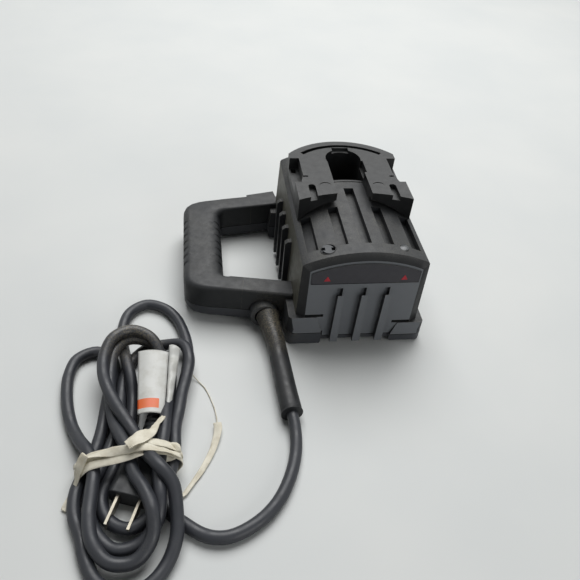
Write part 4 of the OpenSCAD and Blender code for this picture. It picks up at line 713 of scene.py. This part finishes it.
def wrap_round(line, clear, count=88):
    """Evenly spaced points, with their outward directions, round the line's crossings of the tie's plane."""
    # Dots on a circle round each place where the line crosses the plane.
    dots = []
    for a, b in zip(line, line[1:]):
        da, db = (a - TIE_LEFT).dot(tie_across), (b - TIE_LEFT).dot(tie_across)
        if da * db <= 0 and da != db:
            p = a.lerp(b, da / (da - db))
            u = (p - TIE_LEFT).dot(tie_along)
            if REACH_LEFT < u < REACH_RIGHT:
                for k in range(CIRCLE_DOTS):
                    angle = math.tau * k / CIRCLE_DOTS
                    dots.append((u + clear * math.cos(angle), max(p.z + clear * math.sin(angle), LOWEST)))
    # Their convex hull: the sorted dots are walked both ways, and a dot that makes a dent is dropped.
    dots.sort()
    hull = []
    for run in (dots, dots[::-1]):
        part = []
        for d in run:
            while len(part) > 1 and ((part[-1][0] - part[-2][0]) * (d[1] - part[-2][1])
                    - (part[-1][1] - part[-2][1]) * (d[0] - part[-2][0])) <= 0:
                part.pop()
            part.append(d)
        hull += part[:-1]
    # Even steps along the hull, smoothed three times because tape doesn't fold sharply.
    ring = [TIE_LEFT + u * tie_along + Vector((0, 0, z)) for u, z in hull]
    ring.append(ring[0])
    total, even, walked, i = length_of(ring), [], 0.0, 0
    for k in range(count):
        goal = total * k / count
        while walked + (ring[i + 1] - ring[i]).length < goal:
            walked += (ring[i + 1] - ring[i]).length
            i += 1
        step = (ring[i + 1] - ring[i]).length
        even.append(ring[i].lerp(ring[i + 1], (goal - walked) / step if step else 0))
    for _ in range(3):
        even = [(even[k - 1] + 2 * even[k] + even[(k + 1) % count]) / 4 for k in range(count)]
    middle = sum(even, Vector()) / count
    outward = []
    for k in range(count):
        way = (even[(k + 1) % count] - even[k - 1]).cross(tie_across).normalized()
        outward.append(way if way.dot(even[k] - middle) > 0 else -way)
    return even, outward


TAPE_CLEAR = 0.7
tie_ring, tie_out = wrap_round(lead_line, mm(LEAD_D / 2 + TAPE_CLEAR))
print("tie goes round", round(length_of(tie_ring), 3), "m")

# %% [markdown]
# A strip of tape is a flat oval swept along a line. Its width swells and narrows, its edges wander and it
# twists a little, which is what tells torn paper from plastic.

# %% Strips of tape
TAPE_SIDES = 12
TWIST_WAVE, SWAY_WAVE, CREASE_WAVE = 9.4, 21, 260


def tape(name, line, outward, widths_mm, thick_mm=0.9, closed=False, twist=0.0, sway_mm=0.0, crumple_mm=0.35):
    """A crumpled strip along a line. widths_mm is a list of widths spread evenly along it."""
    bm = bmesh.new()
    rings, count = [], len(line)
    for i, place in enumerate(line):
        ahead = (line[(i + 1) % count if closed else min(i + 1, count - 1)]
            - line[i - 1 if closed else max(i - 1, 0)])
        share = i / (count - 1)
        angle = twist * math.sin(share * TWIST_WAVE)
        flat = ahead.cross(outward[i]).normalized()
        up = flat.cross(ahead).normalized()
        up = up if up.dot(outward[i]) > 0 else -up
        side = math.cos(angle) * flat + math.sin(angle) * up
        top = math.cos(angle) * up - math.sin(angle) * flat
        spot = share * (len(widths_mm) - 1)
        k = min(int(spot), len(widths_mm) - 2)
        width = mm(widths_mm[k] + (widths_mm[k + 1] - widths_mm[k]) * (spot - k))
        sway = mm(sway_mm) * math.sin(share * SWAY_WAVE + len(name))
        ring = []
        for j in range(TAPE_SIDES):
            a = math.tau * j / TAPE_SIDES
            crease = mm(crumple_mm) * noise.noise(place * CREASE_WAVE + Vector((j * 0.9, len(name), 0)))
            x = width / 2 * math.copysign(abs(math.cos(a)) ** 0.6, math.cos(a))
            z = mm(thick_mm) / 2 * math.sin(a) + crease
            ring.append(bm.verts.new(place + side * (x + sway) + top * z))
        rings.append(ring)
    pairs = list(zip(rings, rings[1:])) + ([(rings[-1], rings[0])] if closed else [])
    for near, next_ring in pairs:
        for j in range(TAPE_SIDES):
            n = (j + 1) % TAPE_SIDES
            bm.faces.new((near[j], near[n], next_ring[n], next_ring[j])).smooth = True
    if not closed:
        bm.faces.new(rings[0])
        bm.faces.new(rings[-1][::-1])
    bmesh.ops.recalc_face_normals(bm, faces=bm.faces)
    made = object_from(bm, name)
    made.data.materials.append(tie_paper)
    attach(made, "housing")
    return made


print("a strip has", TAPE_SIDES, "sides")

# %% [markdown]
# Two turns lie side by side round the bundle, 5 mm apart, and a third crosses over them on top.

# %% Three turns
def shifted(line, outward, across_mm, lift_mm):
    """The line moved along the bundle and off its surface."""
    return [p + mm(across_mm) * tie_across + mm(lift_mm) * o for p, o in zip(line, outward)]


count = len(tie_ring)
upper_turn = tape("tie_upper_turn", shifted(tie_ring, tie_out, 2.6, 0.3), tie_out,
    [5, 6.5, 5.5, 6, 4.5, 6, 5], closed=True, twist=0.25, sway_mm=0.7)
lower_turn = tape("tie_lower_turn", shifted(tie_ring, tie_out, -2.4, 0.1), tie_out,
    [5.5, 4.5, 6, 5, 6.5, 5, 5.5], closed=True, twist=0.2, sway_mm=0.6)
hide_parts("cord_tie")
top_run = [k for k in range(count) if tie_out[k].z > 0.55]
top_run.sort(key=lambda k: (tie_ring[k] - TIE_LEFT).dot(tie_along))
CROSS_LIFT, CROSS_SWING = 2.2, 3.5
cross_line = [tie_ring[k] + mm(CROSS_LIFT) * tie_out[k]
    + tie_across * mm(CROSS_SWING * math.cos(3.1 * i / len(top_run))) for i, k in enumerate(top_run)]
tape("tie_crossing_turn", cross_line, [tie_out[k] for k in top_run], [3.5, 4, 5.5, 4.5, 6, 3.5], twist=0.6)
print("tie", len(upper_turn.data.polygons) + len(lower_turn.data.polygons), "faces")

# %% [markdown]
# The knot sits at the right end. Its two ends are torn: one lies across to the left over the bench, the
# other curls away to the right and thins to the wire inside the tape. A short end stands up towards the
# paper flag.

# %% Knot and torn ends
KNOT_R = 5
TAPE_WIRE_R = 0.35


def laid(points, steps=8):
    """A smooth line through places in mm, with up as its outward direction."""
    line = [at(*p) for p in smooth_line(points, steps)]
    return line, [Vector((0, 0, 1))] * len(line)


knot_at = tie_ring[max(range(count), key=lambda k: tie_ring[k].dot(tie_along) + tie_ring[k].z * 0.8)]
knot_line = []
for a in [k * 0.3 for k in range(28)]:
    loop = Vector((math.cos(a * 0.9), 0.8 * math.sin(a), 0.32 * math.sin(a * 1.7) + 0.16))
    knot_line.append(knot_at + mm(KNOT_R) * loop - mm(KNOT_R) * tie_along)
tape("tie_knot", knot_line, [Vector((0.2, 0, 1)).normalized()] * len(knot_line), [4, 5, 4.5, 4], thick_mm=2.2,
    twist=1.1, crumple_mm=0.8)
line, up = laid([(-176, -101, 22), (-179, -104.5, 17), (-181.5, -109, 9), (-184, -115, 3.5),
    (-186, -119, 1.4), (-188, -122.5, 1.3)])
tape("tie_left_end", line, up, [4.5, 5, 3.5, 3.5, 4.5, 5, 3], twist=0.5, crumple_mm=0.8)
line, up = laid([(-127, -112, 3), (-123.4, -118.4, 1.6), (-117.2, -110.6, 1.5), (-110.8, -101.1, 1.6),
    (-104.6, -88, 1.8), (-101.5, -76, 2.6), (-101.8, -71, 3.2)])
tape("tie_right_end", line, up, [2.6, 3.2, 3, 3.6, 4, 5.5, 5], twist=0.35, crumple_mm=0.5)
line, up = laid([(-101.8, -73, 3), (-101.9, -66, 1.4), (-103.5, -55.9, 0.8), (-108, -42.3, 0.7),
    (-113, -35, 1), (-117.1, -30.6, 3.2)])
wire = swept_tube("tie_wire", line, mm(TAPE_WIRE_R), 6)
wire.data.materials.append(tie_paper)
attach(wire, "housing")
line, up = laid([(-152.5, -101.5, 29), (-149.5, -99.4, 29.5), (-144.3, -95.4, 28.5), (-139.6, -90.5, 25.5),
    (-137.4, -83.1, 22), (-133.8, -75.8, 19)])
tape("tie_short_end", line, up, [6, 8, 8.5, 6.5, 4.5, 4, 3], twist=0.3, crumple_mm=0.9)
print("knot at", [round(v, 3) for v in knot_at])

# %% [markdown]
# ## Paper flag
# A coated paper flag is folded round the lead above the plug. Handling has curled it: it arches across,
# and its second leaf has creased into a narrow strip along its right edge. A grid of points gives the
# curl, and a Solidify modifier gives the paper its thickness.

# %% Flag
PAPER = 0.35
BAND_TOP, BAND_FOOT, BAND_ACROSS = 0.79, 0.93, 0.78


def leaf(name, corners, across, along, rise_mm, bend, materials):
    """A thin curled sheet between corners in mm: upper left, upper right, lower left, lower right.

    across and along count its squares, rise_mm is how far it arches, and bend(s, t) adds a rise of its own.
    """
    upper_left, upper_right, lower_left, lower_right = [Vector(c) for c in corners]
    bm = bmesh.new()
    grid = []
    for j in range(along + 1):
        t = j / along
        row = []
        for i in range(across + 1):
            s = i / across
            p = upper_left.lerp(upper_right, s).lerp(lower_left.lerp(lower_right, s), t)
            p.z += rise_mm * (1 - (2 * s - 1) ** 2) + bend(s, t)
            row.append(bm.verts.new(at(*p)))
        grid.append(row)
    for j in range(along):
        for i in range(across):
            face = bm.faces.new((grid[j][i], grid[j][i + 1], grid[j + 1][i + 1], grid[j + 1][i]))
            face.smooth = True
            on_band = BAND_TOP < (j + 0.5) / along < BAND_FOOT and (i + 0.5) / across < BAND_ACROSS
            face.material_index = 1 if on_band and len(materials) > 1 else 0
    made = object_from(bm, name)
    for material in materials:
        made.data.materials.append(material)
    thick = made.modifiers.new("paper", "SOLIDIFY")
    thick.thickness = mm(PAPER)
    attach(made, "housing")
    return made


def wave(s, t):
    """Rise in mm of the main leaf, which waves along its right edge."""
    return 0.5 * math.sin(9 * t) * s


def creases(s, t):
    """Rise in mm of the second leaf, which is creased most at its top."""
    return 1.1 * math.sin(23 * t + 2 * s) * (1 - t)


flag = leaf("paper_flag",
    [(-151.2, -23.5, 19.5), (-131.8, -24.1, 18.5), (-149.3, -72.5, 17.6), (-133.8, -72.2, 15.8)],
    across=14, along=42, rise_mm=2.2, bend=wave, materials=[flag_paper, flag_orange])
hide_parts("cord_tag")
leaf("paper_flag_fold",
    [(-131.5, -16.5, 17), (-124.4, -19.5, 15.5), (-132.8, -70, 15), (-130.2, -66.5, 13)],
    across=8, along=40, rise_mm=1.6, bend=creases, materials=[flag_paper])
print("flag", len(flag.data.polygons), "faces")

# %% [markdown]
# With every piece on it made, the lead's real length is printed.

print("lead declared,", round(length_of(lead_line), 2), "m")

# %% [markdown]
# ## Small and inner parts
# Screws, transformer and circuit are seen only when the charger is opened, but each still gets its real
# material. The lamp's lens is smoked polycarbonate, dark until the light behind it comes on. The board is
# green glass epoxy. The white epoxy of the light and the pale card of the bobbin share the look of the
# papers above.

# %% Lens, board and the list of finishes
smoked_lens, tree, shader, where = start_material("smoked_polycarbonate_lens", IOR=1.58, Roughness=0.38)
haze = patches(tree, where, 2, 0.3, 0.7, detail=2.0)
skin = add(tree, "ShaderNodeMix", {MIX_SHARE: haze, MIX_FIRST: linear("#2a2d2f"),
    MIX_SECOND: linear("#46494c")}, data_type="RGBA").outputs[MIX_RESULT]
tree.links.new(skin, shader.inputs["Base Color"])
board_green = moulded_plastic("green_glass_epoxy_board", "#2f6b46", "#2f6b46", "#5f8f6c", dust=0.1, wear=0.1)
FINISHES = {
    "terminal_contacts": brass, "overload_breaker": black_nylon,
    "indicator_lens": smoked_lens, "indicator_led": flag_paper, "plug_blades": nickel,
    "transformer_core": steel_sheets, "transformer_bobbin": tie_paper, "transformer_winding": copper_winding,
    "transformer_bracket": zinc, "transformer_screws": zinc, "circuit_board": board_green,
    "bridge_rectifier": black_nylon, "heat_sink": aluminium, "smoothing_capacitor": black_nylon,
    "output_relay": black_nylon, "board_screws": zinc, "fuse_link": nickel, "fuse_clips": brass,
    "cord_clamp": black_nylon, "cord_clamp_screws": zinc, "mains_wires": lead_pvc, "output_wires": lead_pvc,
    "housing_screws": zinc, "dock_screws": zinc, "cord_lead": lead_pvc, "cord_hank": lead_pvc}
for name, material in FINISHES.items():
    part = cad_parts[name]
    part.data.materials.clear()
    part.data.materials.append(material)
lead.data.materials.append(lead_pvc)
print(len(FINISHES), "parts finished")

# %% [markdown]
# ## Table and light
# The charger stands on a pale laminate bench. One large square is enough for it, since it only has to carry
# the shadow.

# %% Bench
BENCH_HALF = 3
bench_mesh = bpy.data.meshes.new("bench")
bench_corners = [(x * BENCH_HALF, y * BENCH_HALF, 0) for x, y in ((-1, -1), (1, -1), (1, 1), (-1, 1))]
bench_mesh.from_pydata(bench_corners, [], [(0, 1, 2, 3)])
bench = bpy.data.objects.new("bench", bench_mesh)
bpy.context.scene.collection.objects.link(bench)
# Laminate: an even pale grey with hardly visible clouds 120 mm across, and no gloss.
laminate, tree, shader, where = start_material("pale_laminate_bench", Roughness=0.6)
clouds = patches(tree, where, 120, 0.3, 0.7)
skin = add(tree, "ShaderNodeMix", {MIX_SHARE: clouds, MIX_FIRST: linear("#cdd0cf"),
    MIX_SECOND: linear("#d3d5d3")}, data_type="RGBA").outputs[MIX_RESULT]
tree.links.new(skin, shader.inputs["Base Color"])
bench.data.materials.append(laminate)
print("bench", 2 * BENCH_HALF, "m wide")

# %% [markdown]
# A broad soft ceiling light hangs a little behind the charger, so the tops are bright and the front panel
# is in its own shade. A weaker light from the front right opens that shade. Both are large, because small
# lamps would throw hard shadows.

# %% Lamps
def lamp(name, place, target, size, watts):
    """A square soft light that looks at a point."""
    data = bpy.data.lights.new(name, "AREA")
    data.shape = "SQUARE"
    data.size = size
    data.energy = watts
    made = bpy.data.objects.new(name, data)
    made.location = place
    made.rotation_euler = (Vector(target) - Vector(place)).to_track_quat("-Z", "Y").to_euler()
    bpy.context.scene.collection.objects.link(made)
    print(name, watts, "W")


lamp("ceiling_panel", place=(0.15, 0.75, 1.45), target=(0, 0, 0), size=1.4, watts=33)
lamp("window_fill", place=(1.0, -1.5, 0.75), target=(0, 0, 0.04), size=1.0, watts=9)

# %% [markdown]
# The room itself adds a little even light. What the camera sees behind the bench is a pale backdrop.
# Reflections and clear pieces show it too, so metal and the lens mirror a pale room, while it adds no
# light to matt surfaces.

# %% Room and backdrop
ROOM_LIGHT, BACKDROP = 0.07, 0.9
sky = bpy.data.worlds.new("room")
sky.use_nodes = True
room = sky.node_tree
around = room.nodes["Background"]
around.inputs["Color"].default_value = linear("#e6e8ea")
around.inputs["Strength"].default_value = ROOM_LIGHT
backdrop = add(room, "ShaderNodeBackground", {"Color": linear("#eef0f0"), "Strength": BACKDROP})
ray = add(room, "ShaderNodeLightPath").outputs
mirrored = add(room, "ShaderNodeMath", {0: ray["Is Glossy Ray"], 1: ray["Is Transmission Ray"]},
    operation="MAXIMUM").outputs[0]
seen = add(room, "ShaderNodeMath", {0: ray["Is Camera Ray"], 1: mirrored}, operation="MAXIMUM").outputs[0]
mixed = add(room, "ShaderNodeMixShader", {0: seen, 1: around.outputs[0], 2: backdrop.outputs[0]})
room.links.new(mixed.outputs[0], room.nodes["World Output"].inputs["Surface"])
bpy.context.scene.world = sky
bpy.context.scene.view_settings.view_transform = "Standard"
print("room light", ROOM_LIGHT, "backdrop", BACKDROP)
